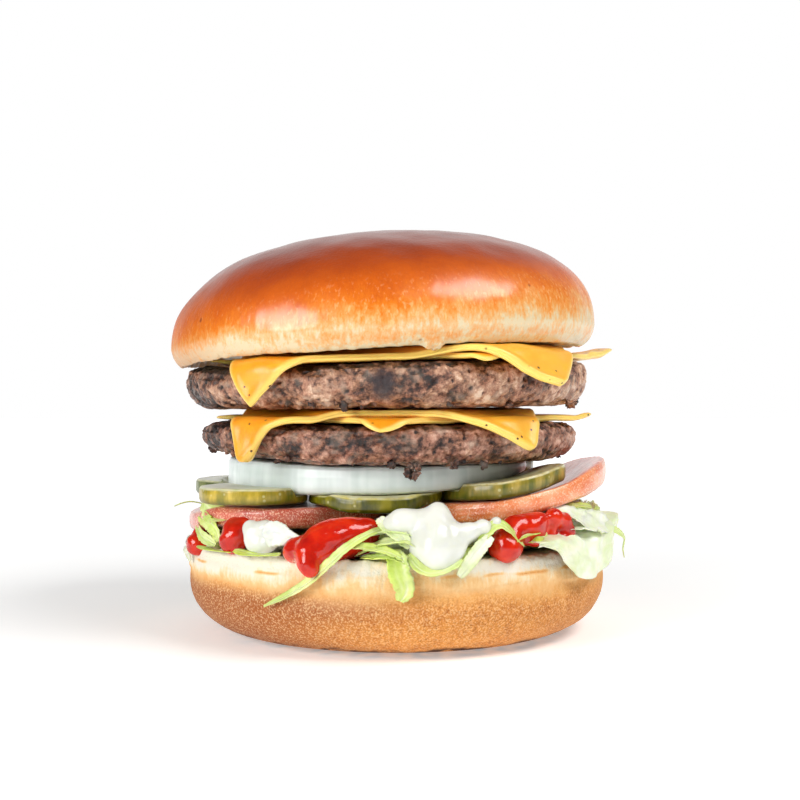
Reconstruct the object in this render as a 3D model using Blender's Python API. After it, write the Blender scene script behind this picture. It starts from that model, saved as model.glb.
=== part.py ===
"""A double cheeseburger in a round bun. Every layer is a solid of its own.

+Z is up and the front of the burger faces -Y. It stands on the flat underside of its bottom bun,
whose middle is the origin. Lengths here are millimetres, and mesh_object() turns them to metres.
"""

from math import cos, pi, radians, sin

import bpy
import numpy as np

METRES = 0.001
GAP = 0.3

# Buns. The crown leans: its rim lies lower on the left than on the right.
HEEL_RADIUS = 55.4
HEEL_HEIGHT = 23.0
HEEL_BASE_RADIUS = 38.5
HEEL_CORNER_HEIGHT = 14.0
CROWN_CENTRE = (-3.8, 0.0)
CROWN_RADIUS = 56.7
CROWN_DOME_HEIGHT = 28.4
CROWN_RIM_HEIGHT = 72.6
CROWN_LEAN = 0.0515
CROWN_CUT_HEIGHT = 74.3
DOME_POWER = 2.3
BUN_STEPS = 36

# Patties, each a little dished by the griddle. The upper one leans.
LOWER_PATTY = {"centre": (-2.1, 0.0), "radius": 49.8, "floor": 45.0, "roof": 54.8, "seed": 11}
UPPER_PATTY = {"centre": (-2.5, 0.0), "radius": 53.2, "floor": 59.3, "roof": 69.8, "seed": 12}
PATTY_DISH = 0.4
PATTY_LEAN = 0.027

# Cheese slices. Each pair is a square slice over one that is turned to a diamond.
CHEESE_THICKNESS = 1.5
CHEESE_GAP = 0.7
CHEESE_FOLD = 3.0

CHEESE = {
    "lower_diamond": {
        "centre": (0.6, 1.9),
        "turn": radians(49),
        "side": 74.0,
        "rest": 6,
        "flaps": ((-92, 30, 66, 1.3), (91, 30, 55, 1.0), (0, 30, -12, 1.0), (180, 30, -8, 1.0)),
    },
    "lower_square": {
        "centre": (-2.4, -10.4),
        "turn": radians(-1.0),
        "side": 77.0,
        "rest": 10,
        "flaps": ((-127, 40, 86, 1.2), (-51, 36, 52, 0.9)),
    },
    "upper_diamond": {
        "centre": (3.0, 6.8),
        "turn": radians(60),
        "side": 81.0,
        "rest": 4,
        "flaps": ((14, 30, -14, 1.0), (106, 30, 62, 1.0), (-72, 20, 40, 1.0)),
    },
    "upper_square": {
        "centre": (1.0, -8.9),
        "turn": radians(1.0),
        "side": 81.0,
        "rest": 10,
        "flaps": ((-128, 40, 88, 1.45), (-48, 36, 44, 0.85)),
    },
}

# Onion, pickles and tomato.
ONION_CENTRE = (-5.1, 0.0)
ONION_RADIUS = 40.5
ONION_TOP = 44.7
ONION_FLOOR = 37.8
TOMATO_THICKNESS = 5.1
TOMATO_BED = 29.3
TOMATO_ENVELOPE = (57.5, 43.0)
TOMATOES = {
    "tomato_left": {"centre": (-28.2, -2.0), "half": (27.1, 37.0), "seed": 21},
    "tomato_right": {"centre": (28.6, -3.0), "half": (27.7, 38.0), "seed": 22},
}
# Each pickle: middle, radius, thickness, height of its underside, slope along X, droop in front.
PICKLES = {
    "pickle_left": ((-36.5, -27.5), 14.4, 3.2, 34.8, 0.0, 0.0),
    "pickle_left_back": ((-39.7, 3.2), 15.2, 3.2, 34.8, 0.0, 0.0),
    "pickle_middle": ((-5.5, -28.5), 15.7, 2.8, 34.8, 0.0, 1.5),
    "pickle_right": ((27.1, -26.0), 15.3, 3.2, 37.0, 0.09, 0.0),
    "pickle_right_back": ((25.0, 25.0), 14.8, 3.2, 36.9, 0.09, 0.0),
    "pickle_back": ((-9.0, 30.5), 15.0, 2.9, 34.8, 0.0, 0.0),
}

# Sauces and lettuce. A lobe is where a sauce shows: its middle and half width in degrees around
# the burger, how far out it reaches, and its lowest and highest point.
SAUCE_STEPS = 56
SPREAD_RADIUS = 38.0
KETCHUP_LOBES = (
    (-160, 9, 54.5, 23.8, 28.0),
    (-138, 8, 54.5, 23.8, 29.8),
    (-109, 14, 55.5, 23.8, 32.8),
    (-58, 7, 53.5, 23.8, 29.6),
    (-46, 7, 53.0, 23.8, 31.5),
    (35, 13, 54.0, 23.8, 29.8),
    (118, 14, 54.5, 23.8, 30.6),
)
MAYONNAISE_LOBES = (
    (-126, 6, 53.0, 26.0, 30.0),
    (-78, 14, 56.5, 26.0, 36.0),
    (76, 15, 54.5, 26.0, 31.5),
    (158, 13, 53.5, 26.0, 29.5),
)
# Each sauce: its lobes, how far it is spread, how far its underside and its top lie below the
# tomato slices, and its finish.
SAUCES = (
    ("ketchup", KETCHUP_LOBES, 35.0, (2.55, 1.9), ("ketchup_gloss", (0.62, 0.02, 0.01), 0.15)),
    ("mayonnaise", MAYONNAISE_LOBES, 36.3, (1.5, 0.3), ("mayonnaise_cream", (0.9, 0.9, 0.82), 0.3)),
)
# Where the lettuce hangs over the bottom bun: middle and half width in degrees, and length.
LETTUCE_REACH = 51.5
LETTUCE_TONGUES = (
    (-83, 8, 10.5),
    (-24, 11, 10.5),
    (-6, 11, 5.0),
    (-180, 6, 2.0),
    (64, 9, 7.0),
    (151, 10, 7.0),
)
LETTUCE_UNDER_SAUCE = 1.5
LETTUCE_LEAF = 2.0
LETTUCE_BELOW_BED = 3.5


def smooth(t):
    """Rises from 0 to 1 as t does, with no kink at either end."""
    t = np.clip(t, 0.0, 1.0)
    return t * t * (3.0 - 2.0 * t)


def bump(t):
    """1 where t is 0, falling to 0 at -1 and 1."""
    return np.clip(1.0 - t * t, 0.0, None) ** 2


def wobble(seed, size, waves=(2, 3, 4, 5, 7)):
    """An uneven smooth function of the angle around the burger, within about size."""
    phases = np.random.default_rng(seed).uniform(0.0, 2.0 * pi, len(waves))
    weights = np.array([1.0 / wave for wave in waves])
    weights *= size / weights.sum()

    def at(angle):
        return sum(w * np.sin(n * angle + p) for n, w, p in zip(waves, weights, phases))

    return at


def angle_between(angle, middle_degrees):
    """The signed angle in degrees from a middle to each angle, the short way round."""
    return (np.degrees(angle) - middle_degrees + 180.0) % 360.0 - 180.0


def weight_of(lobe, angle):
    middle, half_width = lobe[:2]
    return bump(angle_between(angle, middle) / half_width)


def material(name, colour, roughness, metallic=0.0):
    made = bpy.data.materials.new(name)
    made.use_nodes = True
    shader = made.node_tree.nodes["Principled BSDF"]
    shader.inputs["Base Color"].default_value = (*colour, 1.0)
    shader.inputs["Roughness"].default_value = roughness
    shader.inputs["Metallic"].default_value = metallic
    return made


def mesh_object(name, points, faces, finish):
    mesh = bpy.data.meshes.new(name)
    mesh.from_pydata((np.asarray(points) * METRES).tolist(), [], faces)
    mesh.shade_smooth()
    mesh.set_sharp_from_angle(angle=radians(50))
    mesh.materials.append(finish)
    made = bpy.data.objects.new(name, mesh)
    bpy.context.collection.objects.link(made)
    return made


def ring_body(name, rings, bottom, top, finish):
    """A closed body through rings of points, from the middle of its underside to that of its top."""
    steps = len(rings[0])
    points = [bottom, *np.concatenate(rings), top]
    last = len(points) - 1
    faces = []
    for i in range(steps):
        j = (i + 1) % steps
        faces.append((0, 1 + j, 1 + i))
        faces.append((last, last - steps + i, last - steps + j))
        for ring in range(len(rings) - 1):
            low = 1 + ring * steps
            faces.append((low + i, low + j, low + steps + j, low + steps + i))
    return mesh_object(name, points, faces, finish)


def turned_rings(centre, angles, section):
    """Rings around a centre. Each entry of the section gives a radius and a function of x and y
    that gives the height."""
    rings = []
    for radius, height in section:
        x = centre[0] + radius * np.cos(angles)
        y = centre[1] + radius * np.sin(angles)
        rings.append(np.stack([x, y, height(x, y) + 0.0 * x], axis=1))
    return rings


def slab(name, centre, outline, floor, roof, edge, finish, steps):
    """A round layer between the surfaces floor(x, y) and roof(x, y).

    Each entry of edge is a share of the outline's radius, an inset from there, and a level from
    0 on the floor to 1 on the roof, from the underside's middle round to the top's.
    """
    angles = 2.0 * pi * np.arange(steps) / steps

    def between(level):
        return lambda x, y: floor(x, y) * (1.0 - level) + roof(x, y) * level

    section = [
        (share * outline(angles) - inset, between(level)) for share, inset, level in edge
    ]
    rings = turned_rings(centre, angles, section)
    bottom = (*centre, float(floor(*centre)))
    top = (*centre, float(roof(*centre)))
    return ring_body(name, rings, bottom, top, finish)


def make_heel(finish):
    """The bottom bun: a shallow bowl of crust with a flat foot and a torn, level cut face."""
    angles = 2.0 * pi * np.arange(BUN_STEPS) / BUN_STEPS
    uneven = wobble(1, 0.5)(angles)
    cut = wobble(2, 0.35)
    section = [(HEEL_BASE_RADIUS + 0.0 * angles, lambda x, y: 0.0)]
    corner = HEEL_RADIUS - HEEL_BASE_RADIUS
    power = 2.1
    for z in (0.8, 2.6, 5.2, 9.0, HEEL_CORNER_HEIGHT):
        share = (1.0 - (1.0 - z / HEEL_CORNER_HEIGHT) ** power) ** (1.0 / power)
        section.append((HEEL_BASE_RADIUS + corner * share + uneven, lambda x, y, z=z: z))
    for inset, drop in ((0.1, 3.2), (0.9, 0.9), (2.4, 0.0)):
        section.append(
            (
                HEEL_RADIUS - inset + uneven,
                lambda x, y, drop=drop: HEEL_HEIGHT - drop + cut(np.arctan2(y, x)),
            )
        )
    section.append((0.5 * HEEL_RADIUS + 0.0 * angles, lambda x, y: HEEL_HEIGHT))
    rings = turned_rings((0.0, 0.0), angles, section)
    return ring_body("bottom_bun", rings, (0, 0, 0), (0, 0, HEEL_HEIGHT), finish)


def crown_rim(x, y):
    return CROWN_RIM_HEIGHT + CROWN_LEAN * (x - CROWN_CENTRE[0])


def crown_cut(x, y):
    """The cut face of the crown, parallel to the leaning patty below it."""
    return CROWN_CUT_HEIGHT + PATTY_LEAN * x


def make_crown(finish):
    """The top bun: a domed crust whose rim curls under to the cut face."""
    angles = 2.0 * pi * np.arange(BUN_STEPS) / BUN_STEPS
    uneven = wobble(3, 0.5, waves=(2, 3, 4))(angles)

    def above_rim(height):
        return lambda x, y: crown_rim(x, y) + height

    section = [(share * CROWN_RADIUS + 0.0 * angles, crown_cut) for share in (0.45, 0.84, 0.94)]
    for inset, height in ((2.0, 0.7), (1.0, 1.3)):
        section.append((CROWN_RADIUS - inset + uneven, above_rim(height)))
    widest = 4.0
    for degrees in (0, 18, 33, 46, 58, 69, 80):
        across = cos(radians(degrees)) ** (2.0 / DOME_POWER)
        up = sin(radians(degrees)) ** (2.0 / DOME_POWER)
        radius = (CROWN_RADIUS + uneven) * across
        section.append((radius, above_rim(widest + CROWN_DOME_HEIGHT * up)))
    rings = turned_rings(CROWN_CENTRE, angles, section)
    bottom = (*CROWN_CENTRE, float(crown_cut(*CROWN_CENTRE)))
    top = (*CROWN_CENTRE, CROWN_RIM_HEIGHT + widest + CROWN_DOME_HEIGHT)
    return ring_body("top_bun", rings, bottom, top, finish)


def patty_outline(patty):
    uneven = wobble(patty["seed"], 1.0, waves=(2, 3, 4, 6, 9))
    return lambda angle: patty["radius"] + uneven(angle)


def patty_surfaces(patty, lean):
    """The floor and the roof of a patty, both dished in the middle."""
    centre, radius = patty["centre"], patty["radius"]

    def dish(x, y):
        share = np.hypot(x - centre[0], y - centre[1]) / radius
        return PATTY_DISH * (1.0 - smooth(share / 0.92))

    def floor(x, y):
        return patty["floor"] + 0.4 * lean * x + dish(x, y)

    def roof(x, y):
        return patty["roof"] + lean * x - dish(x, y)

    return floor, roof


def make_patty(name, patty, lean, finish):
    floor, roof = patty_surfaces(patty, lean)
    edge = (
        (0.5, 0.0, 0.0),
        (1.0, 8.5, 0.0),
        (1.0, 3.8, 0.09),
        (1.0, 1.2, 0.3),
        (1.0, 0.0, 0.6),
        (1.0, 1.3, 0.86),
        (1.0, 4.8, 1.0),
        (0.5, 0.0, 1.0),
    )
    return slab(name, patty["centre"], patty_outline(patty), floor, roof, edge, finish, 34)


def cover_of(slice_of):
    """How far a point lies over a slice of cheese: 1 on it and just past it, 0 well outside."""

    def at(x, y):
        turn = slice_of["turn"]
        off_x, off_y = x - slice_of["centre"][0], y - slice_of["centre"][1]
        along = abs(off_x * cos(turn) + off_y * sin(turn))
        across = abs(off_y * cos(turn) - off_x * sin(turn))
        outside = np.maximum(along, across) - slice_of["side"] / 2.0
        return 1.0 - smooth((outside - 9.0) / 5.0)

    return at


def make_cheese(name, slice_of, patty, lean, below, finish):
    """A square slice that lies on its patty and folds down over the patty's edge.

    slice_of holds its centre, turn and side, and its flaps as (middle and half width in degrees,
    angle of the fold, stretch of the melted length past it). below is the slice under it or None.
    """
    cells = 10
    across = np.linspace(-0.5, 0.5, cells + 1)
    u, v = (part.ravel() for part in np.meshgrid(across, across, indexing="ij"))
    blunt = 1.0 - 0.035 * np.abs(4.0 * u * v) ** 6
    turn, side = slice_of["turn"], slice_of["side"]
    flat_x = slice_of["centre"][0] + side * blunt * (u * cos(turn) - v * sin(turn))
    flat_y = slice_of["centre"][1] + side * blunt * (u * sin(turn) + v * cos(turn))
    out_x, out_y = flat_x - patty["centre"][0], flat_y - patty["centre"][1]
    reach, angle = np.hypot(out_x, out_y), np.arctan2(out_y, out_x)

    slope = np.full_like(angle, slice_of["rest"])
    stretch = np.ones_like(angle)
    for middle, half_width, flap_slope, flap_stretch in slice_of["flaps"]:
        away = abs(angle_between(angle, middle)) / half_width
        share = smooth(1.6 * np.clip(1.0 - away, 0.0, 1.0))
        slope += share * (flap_slope - slice_of["rest"])
        stretch += share * (flap_stretch - 1.0)
    slope = np.radians(slope)
    sense = np.sign(slope)
    fold_start = patty_outline(patty)(angle) + 1.5 + CHEESE_THICKNESS / 2.0 - CHEESE_FOLD
    past = np.clip(reach - fold_start, 0.0, None)
    bend = np.minimum(past / CHEESE_FOLD, abs(slope))
    straight = stretch * np.clip(past - CHEESE_FOLD * abs(slope), 0.0, None)
    out = np.minimum(reach, fold_start) + CHEESE_FOLD * np.sin(bend) + straight * np.cos(slope)
    drop = sense * (CHEESE_FOLD * (1.0 - np.cos(bend)) + straight * np.sin(abs(slope)))

    share = np.minimum(1.0, fold_start / np.maximum(reach, 1.0))
    roof = patty_surfaces(patty, lean)[1]
    height = roof(patty["centre"][0] + out_x * share, patty["centre"][1] + out_y * share) - drop
    path = np.stack(
        [
            patty["centre"][0] + out * np.cos(angle),
            patty["centre"][1] + out * np.sin(angle),
            height,
        ],
        axis=1,
    )
    tip = sense * np.sin(bend)
    normal = np.stack([tip * np.cos(angle), tip * np.sin(angle), np.cos(bend)], axis=1)
    rise = GAP + 0.0 * reach
    if below:
        rise += (CHEESE_THICKNESS + CHEESE_GAP) * cover_of(below)(flat_x, flat_y)
    underside = path + normal * rise[:, None]
    points = np.concatenate([underside + normal * CHEESE_THICKNESS, underside])
    return mesh_object(name, points, sheet_faces(cells), finish)


def sheet_faces(cells):
    """The faces of a sheet with a top and an underside, each a square grid of points."""
    row = cells + 1
    count = row * row
    faces = []
    for i in range(cells):
        for j in range(cells):
            a = i * row + j
            corners = (a, a + row, a + row + 1, a + 1)
            faces.append(corners)
            faces.append(tuple(count + k for k in reversed(corners)))
    rim = [j for j in range(row)]
    rim += [i * row + cells for i in range(1, row)]
    rim += [cells * row + j for j in range(cells - 1, -1, -1)]
    rim += [i * row for i in range(cells - 1, 0, -1)]
    for a, b in zip(rim, rim[1:] + rim[:1]):
        faces.append((a, b, count + b, count + a))
    return faces


def make_cheese_slices():
    """The four slices: on each patty a diamond, then a square that lies partly on it."""
    melt = (0.93, 0.48, 0.05)
    for level, patty, lean in (("lower", LOWER_PATTY, 0.0), ("upper", UPPER_PATTY, PATTY_LEAN)):
        diamond, square = CHEESE[level + "_diamond"], CHEESE[level + "_square"]
        for shape, slice_of, below in (("diamond", diamond, None), ("square", square, diamond)):
            name = f"cheese_{level}_{shape}"
            make_cheese(name, slice_of, patty, lean, below, material(name + "_melt", melt, 0.4))


def onion_floor(x, y):
    """The onion lies on the pickles, which lift it most on the right."""
    off = x - ONION_CENTRE[0]
    return ONION_FLOOR + np.where(off > 0.0, 0.0026, 0.0006) * off * off


def make_onion(finish):
    uneven = wobble(5, 0.5, waves=(2, 3, 4))
    edge = (
        (0.5, 0.0, 0.0),
        (1.0, 1.0, 0.0),
        (1.0, 0.1, 0.16),
        (1.0, 0.3, 0.8),
        (1.0, 1.2, 1.0),
        (0.5, 0.0, 1.0),
    )
    return slab(
        "onion",
        ONION_CENTRE,
        lambda angle: ONION_RADIUS + uneven(angle),
        onion_floor,
        lambda x, y: ONION_TOP + 0.0 * x,
        edge,
        finish,
        32,
    )


def tomato_bed(x, y):
    """The underside of the tomato slices: they droop on the far left and rise to the right."""
    droop = 3.2 * smooth((-x - 42.0) / 14.0)
    rise = 0.0425 * (x - 3.0 + np.hypot(x - 3.0, 8.0))
    around = np.arctan2(y, x)
    curl = 5.0 * smooth((np.hypot(x, y) - 43.0) / 13.0)
    curl = curl * np.clip(np.cos(around - radians(30)), 0.0, 1.0) ** 3
    return TOMATO_BED - droop + rise + curl


def make_tomato(name, tomato, finish):
    across, deep = tomato["half"]
    uneven = wobble(tomato["seed"], 0.6, waves=(2, 3, 5))

    def outline(angle):
        oval = across * deep / np.hypot(deep * np.cos(angle), across * np.sin(angle))
        return oval + uneven(angle)

    edge = (
        (0.55, 0.0, 0.0),
        (1.0, 1.3, 0.0),
        (1.0, 0.1, 0.25),
        (1.0, 0.1, 0.75),
        (1.0, 1.3, 1.0),
        (0.55, 0.0, 1.0),
    )
    return slab(
        name,
        tomato["centre"],
        outline,
        tomato_bed,
        lambda x, y: tomato_bed(x, y) + TOMATO_THICKNESS,
        edge,
        finish,
        30,
    )


def make_pickle(name, pickle, finish):
    """A crinkle-free slice of pickle, pressed between the tomato and the onion."""
    centre, radius, thickness, height, slope, droop = pickle
    uneven = wobble(len(name), 0.45, waves=(2, 3, 4))

    def floor(x, y):
        plane = height + slope * (x - centre[0])
        lift = 2.2 * smooth((x - 28.0) / 15.0)
        above_tomato = tomato_bed(x, y) + TOMATO_THICKNESS + GAP + 0.05
        sag = droop * smooth((-y - 37.5) / 6.0)
        return np.maximum(plane + lift, above_tomato) - sag

    def roof(x, y):
        on_top = np.hypot(x - ONION_CENTRE[0], y - ONION_CENTRE[1]) - ONION_RADIUS
        free = floor(x, y) + thickness
        pressed = np.minimum(free, onion_floor(x, y) - GAP - 0.05)
        return np.where(on_top < 3.0, pressed, free)

    edge = ((0.5, 0.0, 0.0), (1.0, 0.8, 0.0), (1.0, 0.0, 0.5), (1.0, 0.8, 1.0), (0.5, 0.0, 1.0))
    return slab(
        name, centre, lambda angle: radius + uneven(angle), floor, roof, edge, finish, 20
    )


def front_angles(steps):
    """Angles around the burger, closer together at the front, where the sauces show most."""
    turn = np.linspace(-1.0, 1.0, steps, endpoint=False)
    return -pi / 2.0 + pi * turn - 0.35 * np.sin(pi * turn)


def tomato_envelope(angle):
    """The radius of the rounded box that holds both tomato slices."""
    across, deep = TOMATO_ENVELOPE
    power = 3.4
    return (
        np.abs(np.cos(angle) / across) ** power + np.abs(np.sin(angle) / deep) ** power
    ) ** (-1.0 / power)


def make_sauce(name, lobes, spread_radius, under_bed, finish):
    """A sauce spread between lettuce and tomato that swells into lobes where it shows.

    under_bed gives how far its underside and its top lie below the tomato slices.
    """
    angles = front_angles(SAUCE_STEPS)
    weights = [weight_of(lobe, angles) for lobe in lobes]
    swell = np.clip(sum(weights), 0.0, 1.0)
    spread = spread_radius + 2.6 * np.sqrt(swell)
    reach = spread + 0.6
    for lobe, weight in zip(lobes, weights):
        reach += np.sqrt(weight) * (lobe[2] - spread_radius - 3.2)
    lip = np.minimum(tomato_envelope(angles) + 0.9, spread + 0.55 * (reach - spread))
    full = lip + 0.5 * (reach - lip)

    def spread_height(radius, part):
        x, y = radius * np.cos(angles), radius * np.sin(angles)
        return tomato_bed(x, y) - under_bed[part]

    def lobe_height(radius, part):
        """The bottom (part 0) or the top (part 1) of the lobes, easing into the spread."""
        flat = spread_height(radius, part)
        lobed = sum(w * lobe[3 + part] for lobe, w in zip(lobes, weights))
        lobed = lobed / np.maximum(sum(weights), 1e-9)
        height = flat + swell**0.6 * (lobed - flat)
        under_tomato = (radius < tomato_envelope(angles) + 0.6) & (part == 1)
        return np.where(under_tomato, np.minimum(height, flat - 1.0 * swell), height)

    def ring(radius, height):
        return np.stack([radius * np.cos(angles), radius * np.sin(angles), height], axis=1)

    middle_ring = 20.0 + 0.0 * angles
    low, high = lobe_height(full, 0), lobe_height(full, 1)
    rings = [
        ring(middle_ring, spread_height(middle_ring, 0)),
        ring(spread, spread_height(spread, 0)),
        ring(lip, lobe_height(lip, 0)),
        ring(full, low),
        ring(reach, 0.6 * low + 0.4 * high),
        ring(full + 0.2 * (reach - full), high),
        ring(lip, lobe_height(lip, 1)),
        ring(spread, spread_height(spread, 1)),
        ring(middle_ring, spread_height(middle_ring, 1)),
    ]
    bed = float(tomato_bed(0.0, 0.0))
    bottom, top = (0.0, 0.0, bed - under_bed[0]), (0.0, 0.0, bed - under_bed[1])
    return ring_body(name, rings, bottom, top, finish)


def sauce_cover(lobes, angles):
    """1 at the angles where a sauce's lobes lie, 0 a little way outside them."""
    wider = [(middle, half_width + 5.0) for middle, half_width, *_ in lobes]
    return np.clip(4.0 * sum(weight_of(lobe, angles) for lobe in wider), 0.0, 1.0)


def make_lettuce(finish):
    """The bed of shredded lettuce as one uneven solid, hanging over the bottom bun in places."""
    angles = front_angles(SAUCE_STEPS)
    ketchup = sauce_cover(KETCHUP_LOBES, angles)
    shown = (1.0 - ketchup) ** 2 * (1.0 - sauce_cover(MAYONNAISE_LOBES, angles))
    cut = HEEL_HEIGHT + 0.8
    fold_start = HEEL_RADIUS + 1.3
    fold, fold_angle = 2.2, radians(82)
    inner = SPREAD_RADIUS + 1.6 - 4.2 * ketchup
    reach = LETTUCE_REACH + wobble(7, 1.6, waves=(3, 5, 8, 11))(angles)
    reach = reach + ketchup * (inner + 1.0 - reach)
    on_rim = 0.0 * angles
    for middle, half_width, hang in LETTUCE_TONGUES:
        away = angle_between(angles, middle) / half_width
        on_rim = np.maximum(on_rim, np.clip(3.0 * bump(away / 2.7), 0.0, 1.0))
        reach += bump(away) * hang
    on_rim *= np.clip(1.5 - 1.5 * ketchup, 0.0, 1.0)
    hanging = np.clip(reach - LETTUCE_REACH - 1.6, 0.0, None) * np.clip(1.0 - 4.0 * ketchup, 0.0, 1.0)
    reach = np.minimum(reach, LETTUCE_REACH + 1.6)
    reach += on_rim * (fold_start + 0.8 - reach) + hanging

    def ring(along, thick):
        """The ring at a distance along the leaves' underside, or that far above it."""
        past = along - fold_start
        bend = np.clip(past / fold, 0.0, fold_angle)
        straight = np.clip(past - fold * fold_angle, 0.0, None)
        radius = np.minimum(along, fold_start) + fold * np.sin(bend) + straight * cos(fold_angle)
        drop = fold * (1.0 - np.cos(bend)) + straight * sin(fold_angle)
        radius = radius + thick * np.sin(bend)
        height = cut - drop + thick * np.cos(bend)
        return np.stack([radius * np.cos(angles), radius * np.sin(angles), height], axis=1)

    def room(along, below):
        """The thickness that reaches to a distance below the tomato slices."""
        x, y = along * np.cos(angles), along * np.sin(angles)
        return tomato_bed(x, y) - below - cut

    middle_ring = 20.0 + 0.0 * angles
    shoulder = np.minimum(SPREAD_RADIUS + 5.5, 0.5 * (inner + reach))
    brow = np.minimum(reach - 0.5, HEEL_RADIUS - 6.0)
    brow = np.maximum(brow, 0.4 * shoulder + 0.6 * reach)
    brow = np.minimum(brow, HEEL_RADIUS - 1.0)
    brow += on_rim * (fold_start - brow)
    lip = brow + 0.55 * (reach - brow)
    uneven = wobble(8, 0.7, waves=(5, 8, 11, 14))(angles) - 0.7
    risen = LETTUCE_UNDER_SAUCE + shown * (room(shoulder, 0.9) - LETTUCE_UNDER_SAUCE + uneven)
    over = LETTUCE_UNDER_SAUCE + shown * (0.6 * (risen - LETTUCE_UNDER_SAUCE))
    over = np.minimum(over, room(brow, 0.9))
    rings = [
        ring(middle_ring, 0.0),
        ring(brow, 0.0),
        ring(lip, 0.0),
        ring(reach, 0.0),
        ring(reach - 0.15, 0.4 * LETTUCE_LEAF),
        ring(lip, np.minimum(over, LETTUCE_LEAF)),
        ring(brow, over),
        ring(shoulder, np.minimum(risen, room(shoulder, LETTUCE_BELOW_BED) + 6.0 * shown)),
        ring(inner, room(inner, LETTUCE_BELOW_BED)),
        ring(middle_ring, room(middle_ring, LETTUCE_BELOW_BED)),
    ]
    top = float(tomato_bed(0.0, 0.0)) - LETTUCE_BELOW_BED
    return ring_body("lettuce", rings, (0.0, 0.0, cut), (0.0, 0.0, top), finish)


def clear_scene():
    for left_over in list(bpy.data.objects):
        bpy.data.objects.remove(left_over, do_unlink=True)


def main():
    clear_scene()
    make_heel(material("bottom_bun_crust", (0.62, 0.32, 0.13), 0.75))
    make_lettuce(material("lettuce_leaf", (0.55, 0.66, 0.12), 0.45))
    for name, lobes, spread_radius, under_bed, finish in SAUCES:
        make_sauce(name, lobes, spread_radius, under_bed, material(*finish))
    for name, tomato in TOMATOES.items():
        make_tomato(name, tomato, material(name + "_flesh", (0.75, 0.2, 0.08), 0.3))
    for name, pickle in PICKLES.items():
        make_pickle(name, pickle, material(name + "_flesh", (0.32, 0.3, 0.04), 0.3))
    make_onion(material("onion_flesh", (0.66, 0.72, 0.68), 0.35))
    make_patty("patty_lower", LOWER_PATTY, 0.0, material("patty_lower_sear", (0.2, 0.1, 0.06), 0.7))
    make_patty(
        "patty_upper", UPPER_PATTY, PATTY_LEAN, material("patty_upper_sear", (0.28, 0.17, 0.11), 0.7)
    )
    make_cheese_slices()
    make_crown(material("top_bun_crust", (0.6, 0.16, 0.02), 0.3))


main()
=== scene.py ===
"""The looks of the double cheeseburger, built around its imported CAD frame.

Lengths here are millimetres until new_piece() turns them to metres. +Z is up, the front faces -Y,
and the origin is the middle of the bottom bun's flat underside, as in the frame.
"""

from itertools import product
from math import atan, cos, pi, radians, sin

import bpy
import numpy as np
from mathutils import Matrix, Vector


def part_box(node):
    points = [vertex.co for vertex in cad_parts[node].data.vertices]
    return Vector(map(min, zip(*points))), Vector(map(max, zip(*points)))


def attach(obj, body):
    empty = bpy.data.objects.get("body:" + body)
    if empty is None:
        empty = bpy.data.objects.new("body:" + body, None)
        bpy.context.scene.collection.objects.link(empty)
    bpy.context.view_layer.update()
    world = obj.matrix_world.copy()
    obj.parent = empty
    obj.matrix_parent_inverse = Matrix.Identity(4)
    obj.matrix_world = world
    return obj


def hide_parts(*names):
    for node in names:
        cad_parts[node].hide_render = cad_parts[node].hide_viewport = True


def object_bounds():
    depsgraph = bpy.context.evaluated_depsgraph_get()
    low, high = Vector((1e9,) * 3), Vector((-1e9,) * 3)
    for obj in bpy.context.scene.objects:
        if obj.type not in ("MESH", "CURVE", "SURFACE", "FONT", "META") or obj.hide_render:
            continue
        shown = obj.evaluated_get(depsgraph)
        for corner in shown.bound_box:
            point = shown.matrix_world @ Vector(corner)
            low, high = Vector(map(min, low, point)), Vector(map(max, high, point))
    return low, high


MM = 0.001

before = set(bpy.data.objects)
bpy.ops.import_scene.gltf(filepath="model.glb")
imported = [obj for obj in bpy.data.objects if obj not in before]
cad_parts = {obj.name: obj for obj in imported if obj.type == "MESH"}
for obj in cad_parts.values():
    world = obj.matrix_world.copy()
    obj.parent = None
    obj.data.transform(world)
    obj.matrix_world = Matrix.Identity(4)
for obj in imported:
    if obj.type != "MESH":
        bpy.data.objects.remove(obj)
CAD_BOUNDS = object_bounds()


def box_mm(node):
    return tuple(np.array(corner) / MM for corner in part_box(node))


# ---------------------------------------------------------------- numbers and noise


def smooth(t):
    """Rises from 0 to 1 as t does, with no kink at either end."""
    t = np.clip(t, 0.0, 1.0)
    return t * t * (3.0 - 2.0 * t)


def bump(t):
    """1 where t is 0, falling to 0 at -1 and 1."""
    return np.clip(1.0 - t * t, 0.0, None) ** 2


def wobble(seed, size, waves=(2, 3, 4, 5, 7)):
    """An uneven smooth function of the angle around the burger, within about size."""
    phases = np.random.default_rng(seed).uniform(0.0, 2.0 * pi, len(waves))
    weights = np.array([1.0 / wave for wave in waves])
    weights *= size / weights.sum()
    return lambda angle: sum(w * np.sin(n * angle + p) for n, w, p in zip(waves, weights, phases))


def angle_between(angle, middle_degrees):
    """The signed angle in degrees from a middle to each angle, the short way round."""
    return (np.degrees(angle) - middle_degrees + 180.0) % 360.0 - 180.0


def hashed(cell, seed):
    """A repeatable random 32-bit number for each whole-number cell."""
    x, y, z = (cell[..., k].astype(np.int64) for k in range(3))
    h = (x * 73856093) ^ (y * 19349663) ^ (z * 83492791) ^ (seed * 40503 + 977)
    h &= 0xFFFFFFFF
    h = ((h ^ (h >> 15)) * 739982445) & 0xFFFFFFFF
    h = ((h ^ (h >> 12)) * 695872825) & 0xFFFFFFFF
    return h ^ (h >> 15)


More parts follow.
